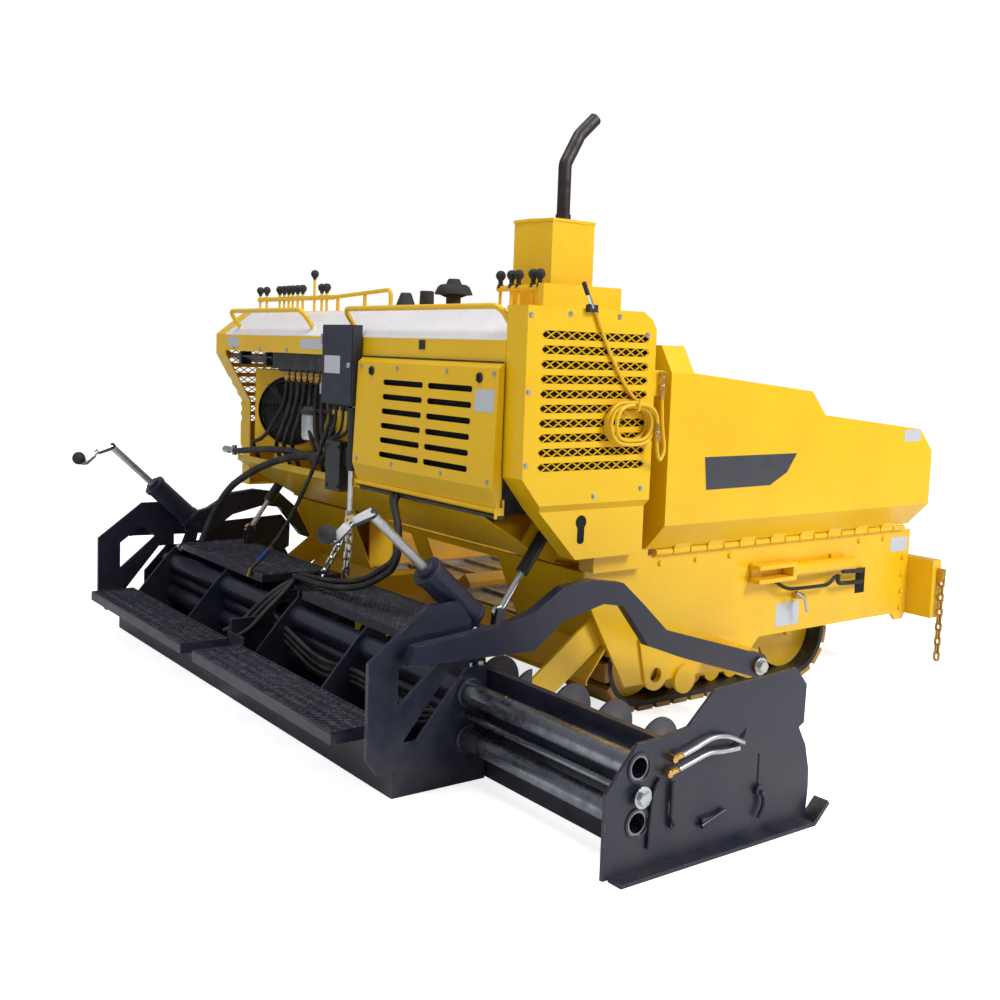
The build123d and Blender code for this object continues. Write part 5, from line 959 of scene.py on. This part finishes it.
@dataclass
class DoorTrim:
    """Near-black sheet behind the louvre slots as painted shade, rubber lip, label, latches and hinge screws
    of the rear door.
    """

    left: float = 218.0
    right: float = 1176.0
    back: float = -755.0
    top: float = 1385.0
    edge_depth: float = 22.0
    slope: float = 18.0 / 415.0
    screw_heights: tuple[float, float] = (1366.0, 992.0)
    screw_columns: tuple[float, ...] = (250.0, 520.0, 860.0, 1148.0)
    latch_height: float = 1350.0
    latch_columns: tuple[float, float] = (330.0, 1064.0)
    label: tuple[float, float, float, float] = (1045.0, 1158.0, 1232.0, 1310.0)
    label_film: float = 0.8

    def face(self, z: float) -> float:
        """Place of the door's outer sheet at a height: a line from its edge down to the fold."""
        return self.back - self.edge_depth - (self.top - z) * self.slope

    def build(self) -> None:
        """Dress the rear door; all of it but the sill swings with the door."""
        # near-black sheet behind the slots: painted shade of the bay seen through the louvres
        louvre_shade = Form().block(self.left + 8, self.right - 8, -760.5, -757.0, 904, 1396)
        louvre_shade.piece("door_louvre_shade", SHADE_BLACK, Body.DOOR, 0.8)
        x0, x1, low, high = self.label
        label = [(self.face(high), high), (self.face(high) - self.label_film, high),
                 (self.face(low) - self.label_film, low), (self.face(low), low)]
        Form().prism(label, Axis.X, x0, x1).piece("door_label", LABEL, Body.DOOR)
        screws = [(x, self.face(z), z) for z in self.screw_heights for x in self.screw_columns]
        Form().bolts(screws, Axis.Y, 12.0, -6.0).piece("door_screws", ZINC, Body.DOOR)
        latches = Form()
        y, z = self.face(self.latch_height), self.latch_height
        for x in self.latch_columns:
            latches.lathe([(0, 2), (19, 2), (19, -3), (15, -6), (0, -6)], (x, y, z), Axis.Y)
            latches.block(x - 4, x + 4, y - 14, y - 5, z - 13, z + 13)
        latches.piece("door_latches", PLASTIC, Body.DOOR, 1.2)
        sill = Form().block(self.left + 20, self.right + 8, -769.0, -741.0, 862.5, 875.5)
        sill.piece("door_sill", BLACK, bevel=1.5)
        lip = [(x, self.back - 2.5, 1406.5) for x in (self.left + 4, self.right - 4)]
        Form().tube(lip, 2.6, 8).piece("door_lip", RUBBER, Body.DOOR)


@dataclass
class RearBay:
    """Left bay: fan guard and sheet, filter, valve block and hoses under the hood's skirt."""

    fan: tuple[float, float, float] = (-800.0, -550.0, 1120.0)
    along: tuple[float, float, float] = (0.64, 0.768, 0.0)
    out: tuple[float, float, float] = (0.768, -0.64, 0.0)
    wire_pitch: float = 17.0
    inner_wire: float = 34.0
    opening: float = 170.0
    sheet_half: tuple[float, float] = (188.0, 198.0)
    filter_place: tuple[float, float] = (-310.0, -700.0)
    filter_bottom: float = 1012.0
    valves_x: tuple[int, int, int] = (-570, -160, 60)
    valves_y: float = -700.0
    valves_z: float = 1318.0
    hose_feet: tuple[int, ...] = (-900, -640, -560, -470, -230, -180, -120)

    def in_plane(self, u: np.ndarray, v: np.ndarray, lift: float) -> np.ndarray:
        """Points of the fan's plane: centre plus u along it, v upwards and the lift square to it."""
        base = np.array(self.fan) + lift * np.array(self.out)
        return base + u[:, None] * np.array(self.along) + v[:, None] * np.array((0.0, 0.0, 1.0))

    def guard(self) -> None:
        """Wire guard: rings in the fan's plane, tied by four radial wires."""
        form = Form()
        turn = np.linspace(0.0, 2.0 * math.pi, 49)
        for radius in np.arange(self.inner_wire, self.opening + 2.0, self.wire_pitch):
            form.tube(self.in_plane(radius * np.cos(turn), radius * np.sin(turn), 6.0), 2.2, 6)
        reach = np.array([20.0, self.opening + 8.0])
        for angle in np.radians([45.0, 135.0, 225.0, 315.0]):
            form.tube(self.in_plane(reach * math.cos(angle), reach * math.sin(angle), 6.0), 2.6, 6)
        form.piece("fan_guard", BLACK)

    def sheet(self) -> None:
        """Sheet round the fan's opening: each point of its circle goes straight out to the square."""
        turn = np.linspace(0.0, 2.0 * math.pi, 96, endpoint=False)
        circle = np.column_stack([np.cos(turn), np.sin(turn)])
        square = circle / np.abs(circle).max(axis=1, keepdims=True) * self.sheet_half
        hole = self.opening * circle
        section = ((hole, 4.0), (square, 4.0), (square, 1.0), (hole, 1.0), (hole, 4.0))
        rings = [self.in_plane(flat[:, 0], flat[:, 1], lift) for flat, lift in section]
        Form().grid(np.stack(rings), around=True).piece("fan_plate", YELLOW)

    def filter(self) -> None:
        """Spin-on filter under its head, on an arm from the post."""
        x, y = self.filter_place
        can = [(0, 0), (30, 0), (46, 8), (50, 22), (50, 112), (46, 122), (0, 122)]
        Form().lathe(can, (x, y, self.filter_bottom), Axis.Z, 40).piece("filter_can", ZINC)
        head = Form().lathe([(0, 0), (54, 0), (54, 18), (40, 34), (0, 34)], (x, y, self.filter_bottom + 122),
                            Axis.Z, 40)
        head.block(-300, -48, y - 12, y + 12, 1144, 1162)
        head.piece("filter_head", IRON, bevel=1.5)

    def valves(self) -> None:
        """Valve block on a plate behind the skirt, with hexagon fittings."""
        block = Form().block(-640, -120, -743, -738, 1330, 1470).block(-600, -150, -738, -664, 1338, 1392)
        fittings = Form()
        profile = [(0, 2), (12, 2), (12, -12), (14.5, -13), (14.5, -30), (10, -34), (10, -52), (0, -52)]
        for x in range(*self.valves_x):
            block.block(x - 22, x + 22, -732, -670, self.valves_z, self.valves_z + 22)
            fittings.lathe(profile, (x, self.valves_y, self.valves_z), Axis.Z, 6)
        block.piece("valve_block", IRON, bevel=2.0)
        fittings.piece("valve_fittings", BRASS, bevel=0.8)

    def hoses(self) -> None:
        """Hoses from the valves down to the pan, and the heavy line across with its stub."""
        hoses = Form()
        y, z = self.valves_y, self.valves_z
        for x, foot in zip(range(*self.valves_x), self.hose_feet):
            half_way = ((x + foot) / 2, -735, 1080.0 + 0.1 * foot)
            hoses.tube(bent([(x, y, z - 40), (x, y - 10, z - 150), half_way, (foot, -720, 960),
                             (foot + 20, -690, 880)]), 9.5)
        hoses.tube(bent([(-1010, -760, 905), (-940, -762, 912), (-683, -770, 945), (-331, -766, 966),
                         (-120, -758, 930), (-40, -752, 1010), (-30, -748, 1150)]), 15.0)
        hoses.piece("bay_hoses", RUBBER)
        stub = Form().lathe([(0, 0), (15, 0), (17, 4), (17, 60), (12, 62), (12, 130), (0, 130)],
                            (-1130, -760, 905), Axis.X, 24)
        stub.block(-1072, -1040, -748, -735, 880, 930)
        stub.piece("hose_stub", ZINC)

    def skirt(self) -> None:
        """Pipes along the skirt's lower edge and labels on the skirt."""
        form = Form()
        for k in range(4):
            y, z = -740 + 14 * k, 1380 - 8 * k
            form.tube([(-1110, y, z), (-650, y, z)], 5.0, 10)
        form.block(-1000, -980, -748, -690, 1340, 1404).block(-720, -700, -748, -690, 1340, 1404)
        form.piece("skirt_pipes", BLACK, bevel=1.0)
        labels = Form()
        for x0, x1 in ((-351, -145), (-1137, -1006)):
            labels.block(x0, x1, -749.9, -748.9, 1426, 1470)
        labels.piece("skirt_labels", LABEL)

    def build(self) -> None:
        """Dress the left bay."""
        self.guard()
        self.sheet()
        self.filter()
        self.valves()
        self.hoses()
        self.skirt()


@dataclass
class CabinetTrim:
    """Door, hinges, lock, glands and cables of the control cabinet, and the hoist's cover."""

    left: float = -50.0
    right: float = 208.0
    rear: float = -798.0
    bottom: float = 1200.0
    top: float = 1533.0
    glands_x: tuple[float, ...] = (-10.0, 40.0, 100.0, 150.0)
    glands_y: float = -776.0

    def door(self) -> None:
        """Door leaf with hinges, lock and a blank label."""
        rear = self.rear
        leaf = Form().block(self.left + 5, self.right - 5, rear - 5, rear + 1, self.bottom + 6, self.top - 6)
        leaf.piece("cabinet_door", CABINET, bevel=2.5)
        metal = Form()
        for z in (self.bottom + 60, self.top - 60):
            metal.tube([(self.left + 1, rear - 5, z - 22), (self.left + 1, rear - 5, z + 22)], 5.5, 14)
        metal.lathe([(0, 2), (12, 2), (12, -5), (9, -8), (0, -8)], (self.right - 24, rear - 4, 1366), Axis.Y)
        metal.piece("cabinet_hinges", ZINC, bevel=0.8)
        Form().block(-22, 112, rear - 5.8, rear - 4, 1330, 1404).piece("cabinet_label", LABEL)

    def build(self) -> None:
        """Dress the cabinet."""
        self.door()
        glands, cables = Form(), Form()
        y, z = self.glands_y, self.bottom
        for k, x in enumerate(self.glands_x):
            glands.lathe([(0, 2), (15, 2), (15, -10), (12, -12), (12, -26), (0, -26)], (x, y, z), Axis.Z, 12)
            cables.tube(bent([(x, y, z - 20), (x - 4, y, 1120), (x - 60 + 6 * k, -762, 1080),
                              (-62 - 4 * k, -756, 1030), (-66 - 6 * k, -752, 925)]), 6.5)
        glands.piece("cabinet_glands", PLASTIC, bevel=0.8)
        cables.piece("cabinet_cables", RUBBER)
        cover = Form().block(4, 121, -801.5, -799.5, 842, 1038)
        cover.bolts([(x, -801, z) for x in (16, 109) for z in (856, 1024)], Axis.Y, 13.0, -6.0)
        cover.piece("hoist_cover", BLACK, bevel=0.6)


@dataclass
class DeckTrim:
    """Caps and mushroom lid on the deck, tower flange and lid, pipe clamp, hatch latch and skirt studs."""

    deck: float = 1603.0
    caps_y: float = -400.0
    caps: tuple = ((-26.0, 51.5, 24.0, 86.0), (142.0, 32.5, 30.0, 90.0))
    cleaner_x: float = 343.0
    vanes: int = 24
    tower_top: float = 1933.0
    pipe: tuple[float, float] = (930.0, -315.0)

    def cleaner(self) -> None:
        """Mushroom lid over its neck, with vanes under the brim: one vane at every step of the turn."""
        centre = (self.cleaner_x, self.caps_y, self.deck)
        shell = [(0, 136), (22, 135.5), (25, 132), (33, 114), (55, 111), (67, 101.5), (79.5, 74.5),
                 (79.5, 70), (62, 70), (62, 74), (0, 74)]
        lid = Form().lathe(shell, centre, Axis.Z, 56)
        for turn in np.linspace(0.0, 2.0 * math.pi, self.vanes, endpoint=False):
            out = np.array([math.cos(turn), math.sin(turn), 0.0])
            lid.tube([centre + 34 * out + (0, 0, 60), centre + 62 * out + (0, 0, 72)], 2.0, 4)
        lid.lathe([(0, 0), (31, 0), (31, 62), (36, 64), (36, 70), (0, 70)], centre, Axis.Z, 36)
        lid.piece("cleaner_lid", PLASTIC, bevel=0.8)

    def tower(self) -> None:
        """Bolted flange and lid of the tower, and the clamp at the foot of the exhaust pipe."""
        flange = Form().block(852, 1068, -509, -250, self.deck - 1, self.deck + 7)
        heads = [(x, y, self.deck + 7) for x in (866, 960, 1054) for y in (-502, -257)]
        flange.bolts(heads, Axis.Z, 15.0, 8.0)
        flange.piece("tower_flange", YELLOW, bevel=1.2)
        outline = [(862, -499), (959, -499), (1058, -469), (1058, -260), (862, -260)]
        top = Form().prism(outline, Axis.Z, self.tower_top - 11, self.tower_top + 0.5)
        top.piece("tower_lid", YELLOW, bevel=2.0)
        clamp = [(25, 0), (38, 0), (38, 5), (29, 6), (29, 34), (25, 34)]
        Form().lathe(clamp, (*self.pipe, self.tower_top), Axis.Z).piece("pipe_clamp", EXHAUST)

    def build(self) -> None:
        """Dress the deck."""
        caps = Form()
        for x, low, high, rise in self.caps:
            profile = [(0, rise), (high - 3, rise), (high, rise - 3), (low, 8), (low + 6, 7),
                       (low + 6, 0.4), (0, 0.4)]
            caps.lathe(profile, (x, self.caps_y, self.deck), Axis.Z, 36)
        caps.piece("deck_caps", PLASTIC)
        self.cleaner()
        self.tower()
        Form().block(628, 668, -753, -748, 1442, 1478).piece("hatch_latch", BLACK, bevel=1.5)
        studs = Form().bolts([(x, -749, 1420.0) for x in (-1060, -760, -480, -90, 130)], Axis.Y, 14.0, -7.0)
        studs.piece("skirt_studs", ZINC)


@dataclass
class LeverTrim:
    """Black knobs on the levers, and rubber boots at the foot of the right ones."""

    right_x: tuple[float, ...] = (864.0, 931.0, 973.0, 1058.0, 1097.0)
    right: tuple[float, float] = (-550.0, 1725.0)
    left_x: tuple[float, ...] = (-1105.0, -1031.0, -886.0, -837.0, -789.0, -746.0, -694.0, -642.0, -453.0,
                                 -405.0)
    left: tuple[float, float] = (-590.0, 1711.0)
    tall: tuple[float, float, float] = (-525.0, -590.0, 1776.0)
    boot_foot: float = 1679.0

    def build(self) -> None:
        """Put a turned knob on every lever."""
        knobs, boots = Form(), Form()
        profile = [(0, 19), (8, 17.8), (14.5, 13), (18.6, 5), (18.8, -3), (15.5, -11), (9.5, -18), (8, -26),
                   (0, -26)]
        for place in [*((x, *self.right) for x in self.right_x), *((x, *self.left) for x in self.left_x),
                      self.tall]:
            knobs.lathe(profile, place, Axis.Z, 20)
        knobs.piece("lever_knobs", PLASTIC, sharp=60.0)
        for x in self.right_x:
            boots.lathe([(0, 26), (7, 26), (10, 20), (8, 16), (13, 10), (11, 6), (16, 0), (0, 0)],
                        (x, self.right[0], self.boot_foot), Axis.Z, 16)
        boots.piece("lever_boots", RUBBER)


@dataclass
class HopperTrim:
    """Decal plates, labels, valve handle, cylinder hoses and bolts along the hopper's sides."""

    wing: float = 1267.0
    side: float = 1154.0
    decal: tuple = ((161, 1064), (707, 1066), (650, 989), (549, 940), (176, 936))
    bolts: tuple = ((1660, 300), (1660, 380), (1660, 460), (1660, 540), (60, 640), (260, 640), (460, 640),
                    (1320, 640), (1500, 640), (30, 330), (30, 430))
    hose_starts: tuple = ((1123.0, 471.0), (1150.0, 521.0))

    def plates(self, side: str, sign: float, body: Body) -> None:
        """Blank decal and labels of one side, as thin films on the sheets."""
        wing, low = layer(sign, self.wing, 0.2, 0.8), layer(sign, self.side, 0.2, 0.9)
        Form().prism(self.decal, Axis.X, *wing).piece(f"wing_decal_{side}", DECAL, body)
        Form().prism(plate(1446, 1570, 1100, 1152), Axis.X, *wing).piece(f"wing_label_{side}", LABEL, body)
        labels = Form().prism(plate(1560, 1690, 570, 638), Axis.X, *low)
        labels.prism(plate(769, 922, 304, 405), Axis.X, *low).piece(f"side_labels_{side}", LABEL)

    def hoses(self, side: str, sign: float) -> None:
        """Hoses of one side's cylinder, and a dark film as the painted shade of the port that they go into.
        """
        hoses = Form()
        for y, z in self.hose_starts:
            hoses.tube(bent([(sign * 1196, y, z + 40), (sign * 1200, y, z), (sign * 1190, y + 120, z - 8),
                             (sign * 1176, 1330, z - 12), (sign * 1150, 1345, z - 14)]), 10.0)
        hoses.tube(bent([(sign * 1190, 700, 520), (sign * 1196, 780, 476), (sign * 1192, 900, 470),
                         (sign * 1196, 1060, 470), (sign * 1192, 1110, 500)]), 8.0)
        hoses.piece(f"cylinder_hoses_{side}", RUBBER)
        # dark film on the side plate: painted shade inside the port
        port_shade_film = Form().prism(plate(1310, 1378, 400, 515), Axis.X, *layer(sign, self.side, 1.0, 1.2))
        port_shade_film.piece(f"port_painted_shade_{side}", SHADE_BLACK)

    def build(self) -> None:
        """Dress both sides of the hopper, and the valve on the right one."""
        for (side, sign), body in zip(SIDES, (Body.WING_RIGHT, Body.WING_LEFT)):
            self.plates(side, sign, body)
            heads = [(sign * self.side, y, z) for y, z in self.bolts]
            Form().bolts(heads, Axis.X, 18.0, sign * 9.0).piece(f"side_bolts_{side}", YELLOW)
            self.hoses(side, sign)
        valve = [(0, 0), (16, 0), (16, 30), (12, 34), (12, 62), (0, 62)]
        Form().lathe(valve, (self.side - 1, 882, 437), Axis.X, 16).piece("valve_body", BRASS)
        lever = Form().tube(bent([(1212, 826, 463), (1216, 882, 430), (1214, 901, 369)], 20), 6.5)
        lever.piece("valve_handle", ZINC)


@dataclass
class ScreedTrim:
    """Expanded gratings, edge bars, hydraulic hoses, manifold and fittings of the screed."""

    pitch_y: float = 11.5
    pitch_x: float = 17.0
    strand_radius: float = 2.4
    edge: float = 6.0
    step: tuple[float, float, float, float] = (62.0, 1194.0, -1414.0, -1208.0)
    walk_right: tuple[float, float, float, float] = (118.5, 1189.5, -957.5, -625.5)
    walk_left: tuple[float, float, float, float] = (-1189.5, -265.5, -957.5, -625.5)
    tubes_y: float = -950.0
    tubes_z: tuple[float, float] = (310.0, 152.0)
    guide_face: float = 1295.0
    loops: tuple = (
        ("loop_hose_outer", 12.5, ((520, -758, 872), (560, -800, 845), (700, -860, 760), (690, -860, 620),
                                   (480, -880, 500), (200, -890, 452), (-90, -890, 448))),
        ("loop_hose_inner", 12.5, ((480, -756, 872), (520, -786, 850), (640, -830, 770), (640, -830, 640),
                                   (440, -850, 520), (160, -845, 462), (-110, -850, 448))),
        ("drop_hose", 9.0, ((-60, -760, 1090), (-110, -800, 900), (-180, -830, 760), (-240, -860, 640),
                            (-300, -900, 540), (-370, -960, 440))),
        ("heavy_hose", 17.0, ((-150, -745, 960), (-340, -800, 940), (-620, -830, 860), (-860, -860, 740),
                              (-960, -900, 590), (-980, -940, 470))))

    def grating(self, form: Form, x0: float, x1: float, y0: float, y1: float, z: float) -> None:
        """Expanded mesh: zigzag strands side by side, each the mirror of the next, so that they meet."""
        count = int((x1 - x0) / self.pitch_x)
        x = np.linspace(x0, x1, count + 1)
        rows = int((y1 - y0) / self.pitch_y)
        for k in range(rows):
            wave = np.where((np.arange(count + 1) + k) % 2, 1.0, -1.0) * self.pitch_y / 2.0
            y = y0 + (k + 0.5) * (y1 - y0) / rows + wave
            form.tube(np.column_stack([x, y, np.full(count + 1, z)]), self.strand_radius, 4)

    def frame_bars(self, form: Form, x0: float, x1: float, y0: float, y1: float, z: float) -> None:
        """Flat bars round a grating, standing a little over it."""
        wide = self.edge
        for limits in ((x0, x1, y0, y0 + wide), (x0, x1, y1 - wide, y1), (x0, x0 + wide, y0, y1),
                       (x1 - wide, x1, y0, y1)):
            form.block(*limits, z - 26, z + 6)

    def steps(self) -> None:
        """Gratings and edge bars of the low steps behind and the high walkways in front."""
        for (side, sign), walk in zip(SIDES, (self.walk_right, self.walk_left)):
            mesh, bars = Form(), Form()
            x0, x1 = sorted((sign * self.step[0], sign * self.step[1]))
            y0, y1 = self.step[2:]
            self.grating(mesh, x0 + 6, x1 - 6, y0 + 5, y1 - 5, 215.0)
            self.frame_bars(bars, x0, x1, y0, y1, 214.0)
            x0, x1, y0, y1 = walk
            self.grating(mesh, x0 + 5.5, x1 - 5.5, y0 + 5.5, y1 - 5.5, 422.0)
            self.frame_bars(bars, x0, x1, y0, y1, 420.0)
            mesh.piece(f"step_mesh_{side}", NAVY, Body.SCREED, sharp=20.0)
            bars.piece(f"step_bars_{side}", NAVY, Body.SCREED, 1.5)

    def hoses(self) -> None:
        """Hydraulic hoses on the screed and those that come down from the tractor."""
        fixed = Form()
        for k, (x, y, z) in enumerate(((-160, -700, 432), (-140, -730, 440), (-120, -760, 452))):
            fixed.tube(bent([(x, y, z), (x + 30, y - 110, z + 14 - 8 * k), (x + 60, -960, 400 - 10 * k),
                             (x + 30 + 26 * k, -1040, 330), (x + 20 + 30 * k, -1120, 250),
                             (x + 10 + 40 * k, -1190, 226)]), 11.0)
        for k in range(3):
            fixed.tube(bent([(-190 + 30 * k, -985, 250 + 30 * k), (30, -1010, 225 + 26 * k),
                             (420, -1030, 150 + 30 * k), (700, -1022, 210 + 18 * k),
                             (1020, -1016, 130 + 30 * k), (1240, -1004, 210 + 10 * k)]), 10.0)
        fixed.piece("screed_hoses", RUBBER, Body.SCREED)
        for name, radius, path in self.loops:
            hose = Form().tube(bent(path), radius).piece(name, RUBBER, None)
            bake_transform(hose)

    def middle(self) -> None:
        """Manifold in the gap between the steps, sleeve and fittings of the hoses."""
        block = Form().block(-250, -120, -760, -640, 392, 432).block(-60, 110, -890, -700, 396, 420)
        block.block(-77, 77, -1205, -1195, 60, 250).block(-62, -50, -1200, -960, 60, 300)
        block.piece("screed_manifold", NAVY, Body.SCREED, 2.0)
        sleeve = Form().tube([(-310, -908, 526), (-345, -937, 476)], 11.5)
        sleeve.piece("hose_sleeve", SLEEVE, Body.SCREED)
        brass = Form().tube([(-296, -897, 546), (-310, -908, 527)], 10.5, 6)
        brass.tube([(-345, -937, 476), (-372, -962, 436), (-380, -970, 400)], [10.5, 9, 8], 6)
        brass.piece("hose_brass", BRASS, Body.SCREED, 0.6)

    def fasteners(self) -> None:
        """Bolts under the depth cranks and rings where the slide tubes come out of their guides."""
        heads = [(sign * x, y, 391.5) for sign in (-1, 1) for x in (1218, 1280) for y in (-940, -895)]
        Form().bolts(heads, Axis.Z, 19.0, 14.0).piece("crank_bolts", ZINC, Body.SCREED)
        lips = Form()
        for sign in (-1.0, 1.0):
            for z in self.tubes_z:
                lips.lathe([(37.6, 0), (50, 0), (50, sign * 12), (46, sign * 16), (37.9, sign * 16)],
                           (sign * self.guide_face, self.tubes_y, z), Axis.X, 40)
        lips.piece("guide_rings", NAVY, Body.SCREED)

    def build(self) -> None:
        """Dress the screed."""
        self.steps()
        self.hoses()
        self.middle()
        self.fasteners()


@dataclass
class GateTrim:
    """Silver hoses, brass fittings, lift handles, dark films as the painted shade of slots, and nuts on the
    end gates.
    """

    right: float = 2107.0
    left: float = -1420.0
    tubes_y: float = -950.0
    tubes_z: tuple[float, float] = (310.0, 152.0)
    ram_z: float = 231.0

    def gate(self, side: str, sign: float, face: float, body: Body) -> None:
        """Dress one end gate.

        Args:
            side: Its side, for the names of the pieces.
            sign: 1 on the right, -1 on the left.
            face: Place of its outer face.
            body: Body that it belongs to.
        """
        def at(points: list, rise: float) -> list:
            """Points (y, z) set `rise` millimetres off the gate's outer face."""
            return [(face + sign * rise, y, z) for y, z in points]

        def ring(inner: float, outer: float, thick: float) -> list:
            """Ring-shaped profile that stands outwards from the face."""
            return [(inner, 0), (outer, 0), (outer, sign * thick), (inner, sign * thick)]

        hoses = Form()
        for path in ([(-800, 325), (-745, 338), (-680, 358), (-610, 349), (-546, 318)],
                     [(-814, 286), (-760, 298), (-690, 314), (-630, 305), (-566, 304)]):
            hoses.tube(bent(at(path, 19)), 7.5)
        hoses.piece(f"gate_hoses_{side}", ZINC, body)
        brass = Form()
        for y, z in ((-814.0, 324.0), (-832.0, 284.0)):
            brass.tube(at([(y - 12, z - 2), (y + 14, z + 2)], 17), 9.5, 6)
            brass.lathe([(0, 0), (12, 0), (12, sign * 26), (9, sign * 27), (0, sign * 27)],
                        (face, y - 20, z - 3), Axis.X, 6)
        brass.piece(f"gate_fittings_{side}", BRASS, body, 0.8)
        # dark films on the face: painted shade inside the crescent and the two upright slots
        dark = Form()
        crescent = [(-556, 292), (-520, 330), (-515, 352), (-530, 340), (-600, 298), (-600, 288)]
        for outline in (crescent, plate(-830, -823, 190, 262), plate(-455, -448, 162, 262)):
            dark.prism(outline, Axis.X, *sorted((face - sign * 0.5, face + sign * 0.9)))
        dark.piece(f"gate_slot_shade_{side}", SHADE_BLACK, body)
        steel = Form()
        steel.tube(bent(at([(-873, 268), (-896, 240), (-905, 160), (-908, 70)], 7)), 6.0)
        steel.tube(at([(-826, 250), (-826, 150), (-813, 122)], 12), [7, 7, 11])
        steel.tube(bent(at([(-452, 148), (-436, 130), (-434, 102), (-456, 66)], 16)), 7.5)
        for radius, y, z in ((17, -452, 152), (15, -815, 124)):
            steel.lathe(ring(0, radius, 14), (face, y, z), Axis.X, 16)
        steel.tube(at([(-701, 92), (-600, 120)], 10), 8.0)
        steel.piece(f"gate_handles_{side}", NAVY, body, 1.0)
        rings = Form()
        for z in self.tubes_z:
            rings.lathe(ring(37.2, 45, 4), (face, self.tubes_y, z), Axis.X, 36)
        rings.piece(f"gate_rings_{side}", NAVY, body)
        nut = Form().bolts(at([(self.tubes_y, self.ram_z)], 18.5), Axis.X, 40.0, sign * 14.0)
        nut.piece(f"ram_nut_{side}", ZINC, body, 0.8)

    def build(self) -> None:
        """Dress both end gates."""
        self.gate("right", 1.0, self.right, Body.GATE_RIGHT)
        self.gate("left", -1.0, self.left, Body.GATE_LEFT)


@dataclass
class ArmTrim:
    """Tow-pin nuts, and the crank handles with threads, balls and housing collars."""

    crank_x: float = 1235.0
    low: tuple[float, float] = (-900.0, 545.0)
    high: tuple[float, float] = (-1089.0, 719.0)
    tow_pin: tuple[float, float, float] = (1391.5, 405.0, 240.0)
    thread_points: int = 117
    thread_radii: tuple[float, float] = (16.4, 14.4)
    strap: tuple = ((-1306, 922), (-1385, 893), (-1445, 840), (-1462, 858))
    ball: tuple[float, float] = (-1467.0, 866.0)

    def on_axis(self, x: float, start: float, end: float, count: int) -> np.ndarray:
        """Points of a crank's screw axis, by distance above the housing's top."""
        axis = np.array(self.high) - np.array(self.low)
        far = np.linspace(start, end, count)[:, None]
        return np.column_stack([np.full(count, x), self.high + far * axis / np.linalg.norm(axis)])

    def crank(self, side: str, sign: float) -> None:
        """Screw, collars, strap, ball and yoke nut of one depth crank."""
        x = sign * self.crank_x
        radii = np.where(np.arange(self.thread_points) % 2, *self.thread_radii)
        screw = Form().tube(self.on_axis(x, 2.0, 292.0, self.thread_points), radii, 14)
        screw.piece(f"crank_screw_{side}", ZINC, Body.SCREED, sharp=80.0)
        collars = Form()
        for start, end, radius in ((-256.0, -238.0, 55.0), (-14.0, 6.0, 55.0), (6.0, 22.0, 32.0)):
            collars.tube(self.on_axis(x, start, end, 2), radius, 36)
        collars.piece(f"crank_collars_{side}", NAVY, Body.SCREED, 1.5)
        strap = bent([(x, y, z) for y, z in self.strap], 14)
        wide = 21.0 - 9.0 * np.abs(np.sin(np.linspace(0.0, 1.0, len(strap)) * math.pi * 2.0))
        Form().tube(strap, wide, 4).piece(f"crank_strap_{side}", ZINC, Body.SCREED, 1.5)
        half = [(31, 0), (28, -13), (21, -23), (11, -29), (0, -31)]
        ball = Form().lathe([(r, -z) for r, z in half[:0:-1]] + half, (x, *self.ball), Axis.Z, 28)
        ball.piece(f"crank_ball_{side}", PLASTIC, Body.SCREED, sharp=60.0)
        yoke = Form().bolts([(x + sign * 22.3, -902, 498)], Axis.X, 24.0, sign * 12.0)
        yoke.piece(f"crank_nut_{side}", ZINC, Body.SCREED, 0.8)

    def build(self) -> None:
        """Dress both tow arms and both depth cranks."""
        x, y, z = self.tow_pin
        for side, sign in SIDES:
            nut = Form().bolts([(sign * x, y, z)], Axis.X, 44.0, sign * 20.0)
            nut.piece(f"tow_nut_{side}", ZINC, bevel=1.0)
            self.crank(side, sign)


@dataclass
class HoistTrim:
    """Yellow eye and shackle pin of the middle hoist."""

    x: float = 180.0
    y: float = -775.0
    hook: float = 720.0
    eye: float = 21.0
    eye_wire: float = 13.0

    def build(self) -> None:
        """Dress the hoist's lower end."""
        turn = np.linspace(0.0, 2.0 * math.pi, 33)
        ring = np.column_stack([self.x + self.eye * np.cos(turn), np.full(33, self.y),
                                self.hook + self.eye * np.sin(turn)])
        Form().tube(ring, self.eye_wire, 12).piece("hoist_eye", YELLOW, Body.HOIST)
        pin = Form().bolts([(self.x, self.y - 12.2, self.hook + 34)], Axis.Y, 16.0, -8.0)
        pin.piece("hoist_pin", ZINC, Body.HOIST)


def main() -> None:
    """Build the scene in order: camera and hose first, then finishes and trim."""
    logging.basicConfig(level=logging.INFO, format="%(message)s")
    Stage().build()
    WashHose().build(frame["nodes"])
    CadDress().build(frame)
    for trim in (SideBoxTrim(), DoorTrim(), RearBay(), CabinetTrim(), DeckTrim(), LeverTrim(), HopperTrim(),
                 ScreedTrim(), GateTrim(), ArmTrim(), HoistTrim()):
        trim.build()
        LOG.info("%s is done", type(trim).__name__)


if __name__ == "__main__":
    main()
